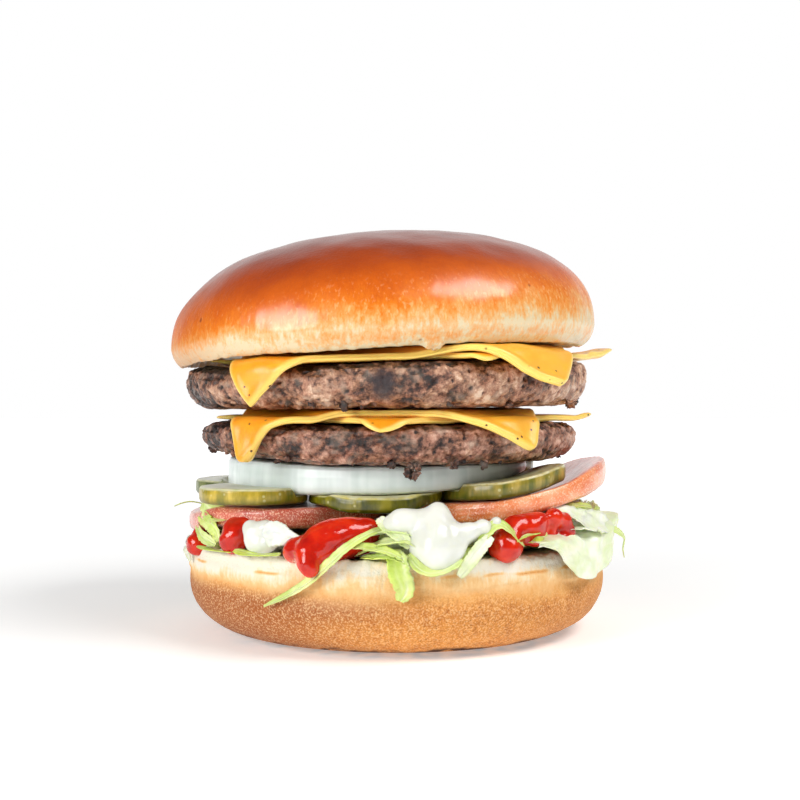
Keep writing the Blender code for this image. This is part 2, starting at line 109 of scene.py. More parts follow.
def noise(points, size, seed=0):
    """Smooth noise, from about -1 to 1, with features about size across."""
    p = points / size
    cell = np.floor(p)
    inside = p - cell
    fade = inside**3 * (inside * (inside * 6.0 - 15.0) + 10.0)
    total = 0.0
    for corner in product((0, 1), repeat=3):
        corner = np.array(corner)
        h = hashed(cell + corner, seed)
        slope = np.stack([(h >> shift) & 255 for shift in (0, 8, 16)], axis=-1) / 127.5 - 1.0
        weight = np.prod(np.where(corner, fade, 1.0 - fade), axis=-1)
        total = total + weight * np.sum(slope * (inside - corner), axis=-1)
    return 1.4 * total


def rough(points, size, seed=0, octaves=4, gain=0.5):
    """Noise at several sizes, each half of the one before."""
    weights = gain ** np.arange(octaves)
    layers = [w * noise(points, size / 2**k, seed + 13 * k) for k, w in enumerate(weights)]
    return sum(layers) / weights.sum()


def cells(points, size, seed=0):
    """The distances to the two nearest of many scattered seeds, and the nearest one's number."""
    p = points / size
    cell = np.floor(p)
    near = np.full(p.shape[:-1], 9.0)
    second, number = near.copy(), np.zeros(p.shape[:-1])
    for offset in product((-1, 0, 1), repeat=3):
        there = cell + np.array(offset)
        h = hashed(there, seed)
        spot = np.stack([(h >> shift) & 255 for shift in (0, 8, 16)], axis=-1) / 255.0
        gap = np.linalg.norm(there + spot - p, axis=-1)
        closer = gap < near
        second = np.where(closer, near, np.minimum(second, gap))
        number = np.where(closer, ((h >> 20) & 1023) / 1023.0, number)
        near = np.where(closer, gap, near)
    return near, second, number


def through(controls, steps):
    """Points on a smooth curve through the controls."""
    c = np.array(controls, float)
    c = np.vstack([2.0 * c[0] - c[1], c, 2.0 * c[-1] - c[-2]])
    t = np.linspace(0.0, len(controls) - 1.0, steps)
    i = np.minimum(t.astype(int), len(controls) - 2)
    f = (t - i)[:, None]
    a, b, d, e = c[i], c[i + 1], c[i + 2], c[i + 3]
    return 0.5 * (2.0 * b + (d - a) * f + (2.0 * a - 5.0 * b + 4.0 * d - e) * f**2
                  + (3.0 * b - a - 3.0 * d + e) * f**3)


def unit(vectors):
    return vectors / np.maximum(np.linalg.norm(vectors, axis=-1, keepdims=True), 1e-9)


# ---------------------------------------------------------------- meshes


def new_piece(name, points, faces, finish, nodes=(), fields=None):
    """A mesh piece that rides on the burger and stands for CAD nodes. fields are point values
    that its material reads."""
    mesh = bpy.data.meshes.new(name)
    mesh.from_pydata((np.asarray(points) * MM).tolist(), [], faces)
    mesh.shade_smooth()
    for field, values in (fields or {}).items():
        mesh.attributes.new(field, "FLOAT", "POINT").data.foreach_set(
            "value", np.asarray(values, np.float32).ravel()
        )
    mesh.materials.append(finish)
    made = bpy.data.objects.new(name, mesh)
    bpy.context.scene.collection.objects.link(made)
    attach(made, "root")
    if nodes:
        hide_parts(*nodes)
    return made


def outward(rings):
    """The unit normals of a body made of rings, from its underside to its top."""
    along = np.gradient(rings, axis=0)
    around = np.roll(rings, -1, axis=1) - np.roll(rings, 1, axis=1)
    return unit(np.cross(around, along))


def ring_points(centre, radii, heights, angles):
    """Rings of points, from radii and heights given as rows by angles."""
    x = centre[0] + radii * np.cos(angles)
    y = centre[1] + radii * np.sin(angles)
    return np.stack([x, y, heights + 0.0 * x], axis=-1)


def ring_faces(rows, columns):
    """The faces of a closed body of rings, with a middle point before the first and after the last."""
    first = 1 + np.arange(columns)
    after = np.roll(first, -1)
    low = first + columns * np.arange(rows - 1)[:, None]
    low_after = after + columns * np.arange(rows - 1)[:, None]
    quads = np.stack([low, low_after, low_after + columns, low + columns], axis=-1)
    last = rows * columns + 1
    top = first + (rows - 1) * columns
    top_after = after + (rows - 1) * columns
    faces = np.stack([0 * first, after, first], axis=-1).tolist()
    faces += quads.reshape(-1, 4).tolist()
    faces += np.stack([0 * first + last, top, top_after], axis=-1).tolist()
    return faces


def ring_piece(name, rings, finish, nodes=(), fields=None):
    """A closed body through rings of points, each field a value for every ring point."""
    rows, columns = rings.shape[:2]
    ends = rings[0].mean(axis=0), rings[-1].mean(axis=0)
    points = np.vstack([ends[0], rings.reshape(-1, 3), ends[1]])
    padded = {
        field: np.concatenate([[v[0].mean()], v.ravel(), [v[-1].mean()]])
        for field, v in (fields or {}).items()
    }
    return new_piece(name, points, ring_faces(rows, columns), finish, nodes, padded)


def sheet_faces(rows, columns, start=0):
    """The faces of a closed sheet: a grid of top points, then one of points below them."""
    count = rows * columns
    corner = (np.arange(columns - 1) + columns * np.arange(rows - 1)[:, None]).ravel() + start
    quad = np.stack([corner, corner + columns, corner + columns + 1, corner + 1], axis=-1)
    grid = np.arange(count).reshape(rows, columns) + start
    rim = np.concatenate([grid[0, :-1], grid[:-1, -1], grid[-1, :0:-1], grid[:0:-1, 0]])
    after = np.roll(rim, -1)
    walls = np.stack([rim, after, after + count, rim + count], axis=-1)
    return quad.tolist() + (quad[:, ::-1] + count).tolist() + walls.tolist()


# ---------------------------------------------------------------- materials


def paint(code):
    """A linear colour from its hexadecimal display value."""
    shown = np.array([int(code[k : k + 2], 16) for k in (0, 2, 4)]) / 255.0
    linear = np.where(shown <= 0.04045, shown / 12.92, ((shown + 0.055) / 1.055) ** 2.4)
    return (*linear.tolist(), 1.0)


class Finish:
    """A node material as it is put together. Values may be numbers, colours or sockets."""

    def __init__(self, name, **shader):
        self.material = bpy.data.materials.new(name)
        self.material.use_nodes = True
        self.tree = self.material.node_tree
        self.shader = self.tree.nodes["Principled BSDF"]
        self.set(**shader)

    def set(self, **shader):
        for socket, value in shader.items():
            self.feed(self.shader.inputs[socket.replace("_", " ")], value)

    def feed(self, socket, value):
        if isinstance(value, bpy.types.NodeSocket):
            self.tree.links.new(value, socket)
        else:
            socket.default_value = value

    def node(self, kind, inputs=(), **settings):
        made = self.tree.nodes.new("ShaderNode" + kind)
        for key, value in settings.items():
            setattr(made, key, value)
        for key, value in dict(inputs).items():
            self.feed(made.inputs[key], value)
        return made

    def place(self, stretch=(1.0, 1.0, 1.0)):
        """The place on the burger in millimetres, stretched along X, Y and Z."""
        spot = self.node("TexCoord").outputs["Object"]
        scale = tuple(share / MM for share in stretch)
        return self.node("Mapping", {"Vector": spot, "Scale": scale}).outputs["Vector"]

    def noise(self, size, detail=3.0, stretch=(1.0, 1.0, 1.0), roughness=0.5, twist=0.0):
        inputs = {"Vector": self.place(stretch), "Scale": 1.0 / size, "Detail": detail,
                  "Roughness": roughness, "Distortion": twist}
        return self.node("TexNoise", inputs).outputs["Fac"]

    def spots(self, size, stretch=(1.0, 1.0, 1.0), feature="F1"):
        inputs = {"Vector": self.place(stretch), "Scale": 1.0 / size}
        return self.node("TexVoronoi", inputs, feature=feature).outputs["Distance"]

    def field(self, name):
        return self.node("Attribute", attribute_name=name).outputs["Fac"]

    def math(self, operation, a, b=0.0, clamp=False):
        made = self.node("Math", operation=operation, use_clamp=clamp)
        self.feed(made.inputs[0], a)
        self.feed(made.inputs[1], b)
        return made.outputs[0]

    def band(self, value, low, high, out_low=0.0, out_high=1.0):
        """The value's way from low to high, as a number from out_low to out_high."""
        made = self.node("MapRange", {"Value": value, "From Min": low, "From Max": high,
                                      "To Min": out_low, "To Max": out_high})
        return made.outputs["Result"]

    def ramp(self, value, *stops):
        made = self.node("ValToRGB", {"Fac": value})
        points = made.color_ramp.elements
        while len(points) < len(stops):
            points.new(0.5)
        for point, (place, code) in zip(points, sorted(stops)):
            point.position = place
            point.color = paint(code)
        return made.outputs["Color"]

    def mix(self, share, a, b, blend="MIX"):
        made = self.node("Mix", data_type="RGBA", blend_type=blend)
        for key, value in ((0, share), (6, a), (7, b)):
            self.feed(made.inputs[key], paint(value) if isinstance(value, str) else value)
        return made.outputs[2]

    def bumps(self, *layers):
        """Stacks bumps, each a height from 0 to 1 and its depth in millimetres."""
        normal = None
        for height, depth in layers:
            inputs = {"Height": height, "Distance": depth * MM, "Strength": 1.0}
            if normal:
                inputs["Normal"] = normal
            normal = self.node("Bump", inputs).outputs["Normal"]
        self.set(Normal=normal)


# ---------------------------------------------------------------- buns

HEEL_FOOT = 38.5
HEEL_CORNER = 14.0
CROWN_LEAN = 0.0515
CROWN_CUT = 74.3
DOME_POWER = 2.3
PATTY_LEAN = 0.027


def crown_finish():
    f = Finish("top_bun_crust", Roughness=0.5, Coat_Weight=0.85, Coat_Roughness=0.25,
               Coat_IOR=1.62, Specular_IOR_Level=0.06)
    # This field holds the real browning by height, plus painted shade on the left and a painted reflection low on the
    # right.
    toast = f.field("toast")
    cloud = f.band(f.noise(9.0, 4.0), 0.3, 0.7, -0.06, 0.06)
    streak = f.band(f.noise(0.95, 4.0, (1.0, 1.0, 0.42), 0.65), 0.35, 0.65, -0.08, 0.08)
    mottle = f.band(f.noise(3.0, 5.0, (1.0, 1.0, 0.7), 0.7), 0.35, 0.65, -0.07, 0.07)
    lower = f.band(toast, 0.6, 0.2)
    shade = f.math("ADD", f.math("ADD", toast, cloud), f.math("MULTIPLY", f.math("ADD", streak, mottle), lower))
    crust = f.ramp(shade, (0.0, "d6c49e"), (0.08, "dcb078"), (0.2, "e09648"), (0.34, "dc7410"),
                   (0.5, "ca5a04"), (0.7, "a84000"), (1.0, "822a00"))
    flecks = f.band(f.noise(0.8, 2.0, (1.0, 1.0, 0.5)), 0.58, 0.7)
    flecks = f.math("MULTIPLY", flecks, f.band(toast, 0.6, 0.25, 0.0, 0.4))
    crust = f.mix(flecks, crust, "f7c98c")
    dark = f.band(f.spots(14.0), 0.05, 0.03)
    # Painted shade: towards the lower left the crust colour is pulled to a deeper brown, and the coat is thinned there
    # too.
    dull = f.field("dull")
    crust = f.mix(f.math("MULTIPLY", dull, 0.4), crust, "b45a14")
    f.set(Base_Color=f.mix(f.math("MULTIPLY", dark, 0.7), crust, "6b2207"))
    f.set(Coat_Weight=f.band(dull, 0.0, 1.0, 0.85, 0.35))
    f.set(Roughness=f.band(toast, 0.0, 0.3, 0.75, 0.45))
    f.bumps((f.noise(0.7, 4.0, roughness=0.65), 0.12), (f.noise(2.4, 3.0), 0.2),
            (f.noise(1.3, 3.0, (1.0, 1.0, 0.3)), 0.2))
    return f.material


def make_crown():
    low, high = box_mm("top_bun")
    centre = (low + high) / 2.0
    radius = (high[0] - low[0]) / 2.0
    rim_height = high[2] - 32.7
    widest, dome = 5.0, 27.6
    columns = 480
    angles = 2.0 * pi * np.arange(columns) / columns
    uneven = wobble(3, 0.5, waves=(2, 3, 4))(angles)
    r = radius
    edge = [(r, 0, 1), (0.75 * r, 0, 1), (0.5 * r, 0, 1), (0.25 * r, 0, 1), (0.1 * r, 0, 1),
            (4.4, 0, 1), (3.5, 0.1, 0.6), (2.9, 0.3, 0.1), (2.1, 0.9, 0), (1.2, 1.9, 0),
            (0.45, 3.3, 0)]
    lip = through(edge, 60)
    turn = np.radians(np.linspace(0.0, 89.0, 74))
    inset = r * (1.0 - np.cos(turn) ** (2.0 / DOME_POWER))
    above = widest + dome * np.sin(turn) ** (2.0 / DOME_POWER)
    sections = np.vstack([lip, np.stack([inset, above, 0.0 * turn], axis=-1)])
    inset, above, cut = (sections[:, k : k + 1] for k in range(3))
    radii = r - inset + uneven * np.clip((r - inset) / r, 0.0, 1.0)
    x = centre[0] + radii * np.cos(angles)
    rim = rim_height + CROWN_LEAN * (x - centre[0]) - 0.9 * smooth((-x - 40.0) / 14.0)
    heights = (1.0 - cut) * (rim + above) + cut * (CROWN_CUT + PATTY_LEAN * x)
    rings = ring_points(centre, radii, heights, angles)

    crumb = smooth((cut - 0.2) / 0.6)
    side = smooth((above - 1.0) / 4.0) * smooth((22.0 - above) / 14.0)
    wrapped = np.stack([radius * np.cos(angles) + 0.0 * radii, radius * np.sin(angles) + 0.0 * radii,
                        0.26 * heights], axis=-1)
    push = 0.6 * rough(rings, 26.0, 31, 3) + 0.2 * noise(rings, 8.0, 32)
    push = push + 0.16 * side * rough(wrapped, 2.3, 33, 3) * (1.0 - crumb)
    push = push + crumb * (0.6 * rough(rings, 3.0, 34, 4) + 0.2)
    torn = smooth((2.2 - above) / 2.0)
    push = push + torn * 0.5 * rough(rings, 2.6, 35, 3)
    rings = rings + push[..., None] * outward(rings)
    hanging = bump(angle_between(angles, -76.5) / 3.6) * torn
    rings[..., 2] -= (1.6 + 1.2 * noise(rings, 1.4, 36)) * hanging

    x = rings[..., 0]
    # Painted shade and painted reflection: the crust is made browner on the left and paler low on the right, following
    # the light, and both are added to the browning value.
    darker = 0.14 * smooth((-x - 5.0) / 30.0) * smooth((above - 4.0) / 5.0)
    paler = 0.09 * smooth((x - 6.0) / 30.0) * smooth((24.0 - above) / 10.0)
    golden = 0.15 * bump((above - 2.4) / 2.4) * smooth((x + 34.0) / 24.0)
    toast = 0.037 * above - 0.09 + golden + darker - paler + 0.05 * rough(rings, 15.0, 37, 3)
    toast = np.clip(toast, 0.0, 1.0) * (1.0 - crumb)
    # Painted shade at the lower left, also used to thin the coat.
    dull = smooth((-x - 36.0) / 18.0) * smooth((24.0 - above) / 8.0)
    ring_piece("top_bun_crust", rings, crown_finish(), ["top_bun"],
               {"toast": toast, "dull": dull * (1.0 - crumb)})


def heel_finish():
    f = Finish("bottom_bun_crust", Roughness=0.72, Specular_IOR_Level=0.3)
    bake = f.field("bake")
    cloud = f.band(f.noise(6.0, 4.0), 0.3, 0.7, -0.12, 0.12)
    fibre = f.band(f.noise(0.9, 4.0, (1.0, 1.0, 0.3), 0.6), 0.35, 0.65, -0.07, 0.07)
    shade = f.math("ADD", f.math("ADD", bake, cloud), f.math("MULTIPLY", fibre, f.band(bake, 0.7, 0.3)))
    crust = f.ramp(shade, (0.0, "e8e1d0"), (0.12, "ecd8b4"), (0.26, "ecc48c"), (0.5, "e3a660"),
                   (0.75, "dc964c"), (1.0, "d28840"))
    tanned = f.mix(f.field("tan"), crust, f.mix(bake, "e4c69c", "a05c32"))
    # Painted light: the lower front middle is lightened to a warm pale tone.
    warm = f.mix(f.field("glow"), tanned, f.mix(bake, "efd6a8", "e8a04c"))
    pores = f.spots(0.85)
    grain = f.noise(0.45, 1.0)
    baked = f.band(bake, 0.35, 0.85)
    patch = f.band(f.noise(7.0, 3.0), 0.35, 0.65, 0.45, 1.0)
    pale = f.math("MULTIPLY", f.band(grain, 0.5, 0.62), f.math("MULTIPLY", baked, 0.5))
    warm = f.mix(pale, warm, "f4cf9a")
    coarse = f.noise(1.3, 4.0, roughness=0.7)
    brown = f.math("ADD", f.band(grain, 0.5, 0.4, 0.0, 0.35), f.band(coarse, 0.52, 0.42, 0.0, 0.4))
    warm = f.mix(f.math("MULTIPLY", brown, f.math("MULTIPLY", baked, patch)), warm, "a4561f")
    holes = f.math("MULTIPLY", f.band(pores, 0.3, 0.14), f.math("MULTIPLY", baked, patch))
    warm = f.mix(f.math("MULTIPLY", holes, 0.55), warm, "7a3a14")
    f.set(Base_Color=f.mix(f.field("scorch"), warm, "42200e"))
    f.bumps((grain, 0.14), (pores, 0.1))
    return f.material


def make_heel():
    low, high = box_mm("bottom_bun")
    radius = (high[0] - low[0]) / 2.0
    height = high[2] - 0.2
    columns = 640
    angles = 2.0 * pi * np.arange(columns) / columns
    uneven = wobble(1, 0.5)(angles)
    turn = np.radians(np.linspace(3.0, 90.0, 44))
    out = np.sin(turn) ** (2.0 / 2.1)
    up = 1.0 - np.cos(turn) ** (2.0 / 2.1)
    bowl = np.stack([HEEL_FOOT + (radius - HEEL_FOOT) * out, HEEL_CORNER * up], axis=-1)
    foot = [(2.0, 0.0), (12.0, 0.0), (26.0, 0.0), (36.0, 0.0)]
    wall = through([(radius, 14.2), (radius - 0.1, 16.0), (radius, 18.0), (radius - 0.2, 20.0),
                    (radius - 0.4, 21.6), (radius - 0.6, 22.8), (radius - 1.3, 23.6),
                    (radius - 2.8, 23.7), (radius - 6.0, 23.3), (radius - 14.0, height)], 56)
    flat = [(30.0, height), (15.0, height), (3.0, height)]
    section = np.vstack([foot, bowl, wall, flat])
    radii, heights = section[:, :1], section[:, 1:]
    radii = radii + uneven * np.clip(radii / radius, 0.0, 1.0) ** 4
    heights = heights + 0.0 * angles
    rings = ring_points((0.0, 0.0), radii, heights, angles)

    side = smooth((heights - 0.2) / 1.5)
    torn = smooth((heights - 15.5) / 4.0)
    push = 0.35 * rough(rings, 18.0, 41, 3) * side
    push = push + side * (1.0 - torn) * 0.1 * rough(rings, 1.7, 42, 3)
    wrapped = rings * np.array([1.0, 1.0, 0.3])
    push = push + torn * 0.4 * rough(wrapped, 2.0, 43, 4)
    seam = 17.0 + 1.5 * noise(rings * np.array([1.0, 1.0, 0.0]), 14.0, 44)
    push = push + 0.3 * smooth((heights - seam) / 0.7) * smooth((21.5 - heights) / 2.0)
    jag = smooth((heights - 21.4) / 1.6)
    rings = rings + push[..., None] * outward(rings)
    rings[..., 2] += jag * 0.95 * rough(rings * np.array([1.0, 1.0, 0.2]), 1.9, 45, 4)
    nicks = smooth((2.0 - heights) / 1.6) * np.clip(rough(rings, 2.4, 46, 2) - 0.1, 0.0, 1.0)
    rings[..., 2] += 0.9 * nicks * side

    drift = 1.5 * noise(rings, 11.0, 47) + 0.6 * noise(rings, 3.0, 48)
    bake = np.interp(heights - drift, [10.0, 12.5, 14.5, 17.0, 19.2, 20.7, 21.8],
                     [1.0, 0.8, 0.55, 0.34, 0.24, 0.1, 0.0])
    far_left = smooth((-rings[..., 0] - 8.0) / 28.0)
    low_bake = np.interp(heights - 0.7 * drift, [13.0, 14.4, 15.6, 16.8, 18.0, 19.4], [1.0, 0.8, 0.5, 0.3, 0.14, 0.0])
    bake = bake + far_left * (low_bake - bake)
    left = smooth((-rings[..., 0] + 12.0) / 36.0)
    tan = 0.95 * left * smooth((17.0 - heights) / 4.5)
    # Painted light on the lower front middle of the heel.
    middle = bump((rings[..., 0] - 8.0) / 44.0) * smooth((-rings[..., 1]) / 30.0)
    glow = 0.8 * middle * smooth((12.5 - heights) / 6.0)
    scorch = smooth((2.9 - heights) / 1.5) * np.clip(0.3 + 3.0 * rough(rings, 3.6, 49, 3), 0.0, 1.0)
    ridge = 20.0 + 0.7 * noise(rings * np.array([1.0, 1.0, 0.0]), 7.0, 50)
    line = bump((heights - ridge) / 0.5) * np.clip(1.5 * noise(rings, 10.0, 51) + 0.1, 0.0, 0.5)
    bake = np.clip(bake + line, 0.0, 1.0)
    ring_piece("bottom_bun_crust", rings, heel_finish(), ["bottom_bun"],
               {"bake": bake, "tan": tan, "glow": glow, "scorch": scorch})


# ---------------------------------------------------------------- patties

PATTIES = {
    "patty_lower": {"radius": 49.8, "lean": 0.0, "seed": 11, "roof": 54.8, "floor": 45.0, "lift": 1.8,
                    "brim": 0.0},
    "patty_upper": {"radius": 53.2, "lean": PATTY_LEAN, "seed": 12, "roof": 69.8, "floor": 58.8, "lift": 0.0,
                    "brim": 1.1},
}
PATTY_DISH = 0.4


def patty_centre(name):
    return {"patty_lower": (-2.1, 0.0), "patty_upper": (-2.5, 0.0)}[name]


def patty_outline(name):
    patty = PATTIES[name]
    uneven = wobble(patty["seed"], 1.0, waves=(2, 3, 4, 6, 9))
    return lambda angle: patty["radius"] + uneven(angle)


def patty_roof(name, x, y):
    patty, centre = PATTIES[name], patty_centre(name)
    share = np.hypot(x - centre[0], y - centre[1]) / patty["radius"]
    angle = np.arctan2(y - centre[1], x - centre[0])
    brim = patty["brim"] * bump(angle_between(angle, -170.0) / 29.0) * smooth((share - 0.7) / 0.2)
    return patty["roof"] + patty["lean"] * x - PATTY_DISH * (1.0 - smooth(share / 0.92)) + brim


def patty_finish(name, tones, seed_size):
    f = Finish(name + "_sear", Roughness=0.5, Specular_IOR_Level=0.55, Coat_Weight=0.12,
               Coat_Roughness=0.25)
    # depth carries painted shade and light over the meat's own random tone. It is low in hollows, in pits and under
    # the cheese (painted shade and shadow), and high on raised lumps, which the ramp's pale end turns into painted
    # highlight.
    depth = f.field("depth")
    fine = f.band(f.noise(1.5, 6.0, roughness=0.75), 0.35, 0.65, -0.3, 0.3)
    shade = f.math("ADD", depth, fine)
    dark, low, mid, high, pale = tones
    meat = f.ramp(shade, (0.0, dark), (0.22, low), (0.5, mid), (0.78, high), (1.0, pale))
    tint = f.ramp(f.noise(seed_size, 2.0), (0.35, "a87a48"), (0.5, "8a7068"), (0.65, "b0705a"))
    meat = f.mix(0.45, meat, tint, "SOFT_LIGHT")
    grey = f.band(f.noise(3.1, 3.0), 0.52, 0.66, 0.0, 0.4)
    meat = f.mix(grey, meat, f.mix(depth, "45352a", "d2c2ae"))
    f.set(Base_Color=f.mix(f.field("char"), meat, "241218"))
    f.set(Roughness=f.band(f.noise(1.9, 2.0), 0.35, 0.65, 0.32, 0.62))
    f.bumps((f.noise(0.7, 4.0, roughness=0.7), 0.35), (f.spots(1.1), 0.12))
    return f.material


def make_patty(name, tones):
    patty, centre = PATTIES[name], patty_centre(name)
    columns = 640
    angles = 2.0 * pi * np.arange(columns) / columns
    outline = patty_outline(name)(angles)
    seed = 10 * patty["seed"]
    edge = [(1.0, 44.0, 0.0), (1.0, 30.0, 0.0), (1.0, 16.0, 0.0), (1.0, 9.0, 0.0), (1.0, 5.2, 0.03),
            (1.0, 2.6, 0.12), (1.0, 0.9, 0.3), (1.0, 0.1, 0.5), (1.0, 0.0, 0.7), (1.0, 0.9, 0.88),
            (1.0, 3.0, 0.98), (1.0, 7.0, 1.0), (1.0, 14.0, 1.0), (1.0, 28.0, 1.0), (1.0, 44.0, 1.0)]
    knots = np.array([0.0, 1.0, 2.0, 2.8, 5.0, 8.0, 11.5, 14.0, 16.5, 20.0, 23.0, 25.5, 26.5, 27.2, 28.0])
    rows = np.linspace(0.0, 28.0, 84)
    share, inset, level = (np.interp(rows, knots, column)[:, None] for column in zip(*edge))
    radii = share * outline - inset * (patty["radius"] / 50.0)
    x = centre[0] + radii * np.cos(angles)
    y = centre[1] + radii * np.sin(angles)
    floor = patty["floor"] + 0.4 * patty["lean"] * x + patty["lift"] * smooth((-x - 12.0) / 34.0)
    roof = patty_roof(name, x, y)
    heights = floor + level * (roof - floor)
    rings = ring_points(centre, radii, heights, angles)

    side = smooth((12.0 - inset) / 9.0)
    below = side * smooth((0.6 - level) / 0.5)
    swirl = np.stack([noise(rings, 4.0, seed + 6), noise(rings, 4.0, seed + 7), noise(rings, 4.0, seed + 8)], axis=-1)
    lump, lump_next, _ = cells(rings + 1.5 * swirl, 4.4, seed + 1)
    grain, grain_next, number = cells(rings + 0.7 * swirl, 1.9, seed + 2)
    crack = smooth((lump_next - lump) / 0.3)
    push = 0.8 * rough(rings, 12.0, seed + 3, 2) + 0.7 * rough(rings, 4.0, seed + 9, 4, 0.6)
    push = push + 0.42 * (0.5 - lump) - 0.4 * (1.0 - crack) * smooth(0.5 + 2.0 * noise(rings, 6.0, seed + 12))
    push = push + 0.22 * (0.45 - grain) - 0.12 * (1.0 - smooth((grain_next - grain) / 0.3))
    push = push + 0.2 * rough(rings, 1.1, seed + 4, 3)
    pits = smooth((0.24 - cells(rings + 0.5 * swirl, 2.7, seed + 10)[0]) / 0.12)
    push = push - 0.5 * pits
    flat = np.where(level > 0.5, 0.25, 0.35) * (1.0 - side)
    rings = rings + (push * (0.9 * side + flat))[..., None] * outward(rings)
    rings[..., 2] -= below * np.clip(1.6 * rough(rings, 5.0, seed + 5, 3) - 0.2, 0.0, 1.4)
    # Painted shade in hollows and pits and painted highlight on raised lumps, mixed with the meat's random tone.
    depth = 0.53 + 0.5 * push - 0.2 * pits + 0.3 * (number - 0.5) + 0.3 * rough(rings, 7.0, seed + 11, 2)
    x = rings[..., 0]
    # Painted shadow darkens the top rim under the cheese; the far left end is darker and the lower right side lighter.
    depth = depth - 0.3 * smooth((level - 0.84) / 0.1) - 0.2 * smooth((-x - 38.0) / 8.0)
    depth = depth + 0.06 * smooth(x / 30.0) + 0.16 * smooth((x - 34.0) / 10.0) * smooth((0.8 - level) / 0.2)
    return rings, np.clip(depth, 0.0, 1.0), angles, level, side


# Bits that hang from the lower patty in front: place, how far they spread, and how many.
CLUSTERS = (((4.0, -46.4, 44.2), 1.6, 16), ((14.0, -44.8, 45.4), 1.0, 5), ((21.2, -42.4, 45.6), 0.7, 3),
            ((-29.0, -36.4, 46.4), 0.8, 3))


def crumb(centre, size, seed):
    """A ragged little lump, as points and faces."""
    polar = np.linspace(0.15, pi - 0.15, 9)[:, None]
    angles = 2.0 * pi * np.arange(12) / 12
    way = np.stack([np.sin(polar) * np.cos(angles), np.sin(polar) * np.sin(angles), -np.cos(polar) + 0.0 * angles],
                   axis=-1)
    long = np.random.default_rng(seed).uniform(0.55, 1.35, 3)
    ragged = 1.0 + 0.8 * noise(way * 3.0, 1.7, seed) + 0.35 * noise(way, 0.45, seed)
    rings = np.array(centre) + size * way * long * ragged[..., None]
    return np.vstack([rings[0].mean(axis=0), rings.reshape(-1, 3), rings[-1].mean(axis=0)]), ring_faces(9, 12)


def make_crumbs(name, finish, radius, height, clusters, seed):
    """Crumbs of meat along a patty's lower edge."""
    rng = np.random.default_rng(seed)
    lumps = []
    for place, spread, count in clusters:
        for _ in range(count):
            lumps.append((np.array(place) + spread * rng.uniform(-1, 1, 3) * (1.0, 0.4, 0.8), rng.uniform(0.45, 0.85)))
    for _ in range(34):
        angle = rng.uniform(0.0, 2.0 * pi)
        r = radius + rng.uniform(-2.4, -0.4)
        place = np.array([r * cos(angle) - 2.3, r * sin(angle), height + rng.uniform(0.4, 1.4)])
        place[2] += 1.8 * smooth((-place[0] - 12.0) / 34.0) * (height < 50.0)
        lumps.append((place, rng.uniform(0.5, 1.1)))
    points, faces, depth = [], [], []
    for number, (place, size) in enumerate(lumps):
        lump, sides = crumb(place, size, seed + number)
        faces += [[k + len(lump) * number for k in face] for face in sides]
        points.append(lump)
        depth.append(np.full(len(lump), rng.uniform(0.08, 0.5)))
    fields = {"depth": np.concatenate(depth), "char": np.zeros(sum(map(len, depth)))}
    new_piece(name, np.concatenate(points), faces, finish, (), fields)


def make_patties():
    rings, depth, angles, level, side = make_patty("patty_lower", None)
    fields = {"depth": depth, "char": 0.0 * depth}
    lower_finish = patty_finish("patty_lower", ("150a06", "4a2c20", "946a54", "bc9480", "dcbca8"), 3.2)
    ring_piece("patty_lower_meat", rings, lower_finish, ["patty_lower"], fields)
    make_crumbs("patty_lower_crumbs", lower_finish, 47.6, 45.2, CLUSTERS, 811)

    rings, depth, angles, level, side = make_patty("patty_upper", None)
    spot = bump(angle_between(angles, -90.6) / 4.4) * bump((level - 0.55) / 0.55)
    char = np.clip(1.7 * spot + 1.2 * spot * rough(rings, 1.6, 78, 3) - 0.15, 0.0, 0.85)
    fields = {"depth": depth, "char": char}
    upper_finish = patty_finish("patty_upper", ("160c07", "503224", "a0785f", "caa68c", "e8d0ba"), 2.8)
    ring_piece("patty_upper_meat", rings, upper_finish, ["patty_upper"], fields)
    make_crumbs("patty_upper_crumbs", upper_finish, 51.0, 59.2, (), 812)


# ---------------------------------------------------------------- cheese

CHEESE_FOLD = 2.2
CHEESE = {
    "cheese_lower_diamond": {
        "patty": "patty_lower", "centre": (1.4, -4.2), "turn": radians(39), "side": 73.0, "rise": 0.35, "rest": 4,
        "flaps": ((-96, 46, 46, 1.0, 0.0), (84, 30, 55, 1.0, 0.0), (-6, 28, -12, 1.0, 0.0), (174, 30, -6, 1.0, 0.0)),
        "taper": 0.6,
    },
    "cheese_lower_square": {
        "patty": "patty_lower", "centre": (-2.2, -9.3), "turn": radians(-1.0), "side": 74.4, "rise": 0.35, "rest": 7,
        "flaps": ((-130, 24, 88, 1.66, -0.15), (-49, 21, 66, 1.38, 0.3)), "over": "cheese_lower_diamond",
        "drip": 0.8, "swell": 0.14, "hug": 1.0,
    },
    "cheese_upper_diamond": {
        "patty": "patty_upper", "centre": (6.4, 2.6), "turn": radians(60), "side": 82.0, "rise": 0.35, "rest": 4,
        "flaps": ((14, 26, -12, 1.04, 0.0), (106, 30, 62, 1.0, 0.0), (-75, 50, 38, 1.0, 0.0)),
        "taper": 0.6,
    },
    "cheese_upper_square": {
        "patty": "patty_upper", "centre": (1.5, -9.3), "turn": radians(1.0), "side": 82.4, "rise": 0.35, "rest": 7,
        "flaps": ((-129, 26, 88, 1.42, 0.19), (-47, 24, 46, 0.9, 0.0)), "over": "cheese_upper_diamond",
        "swell": 0.24,
    },
}


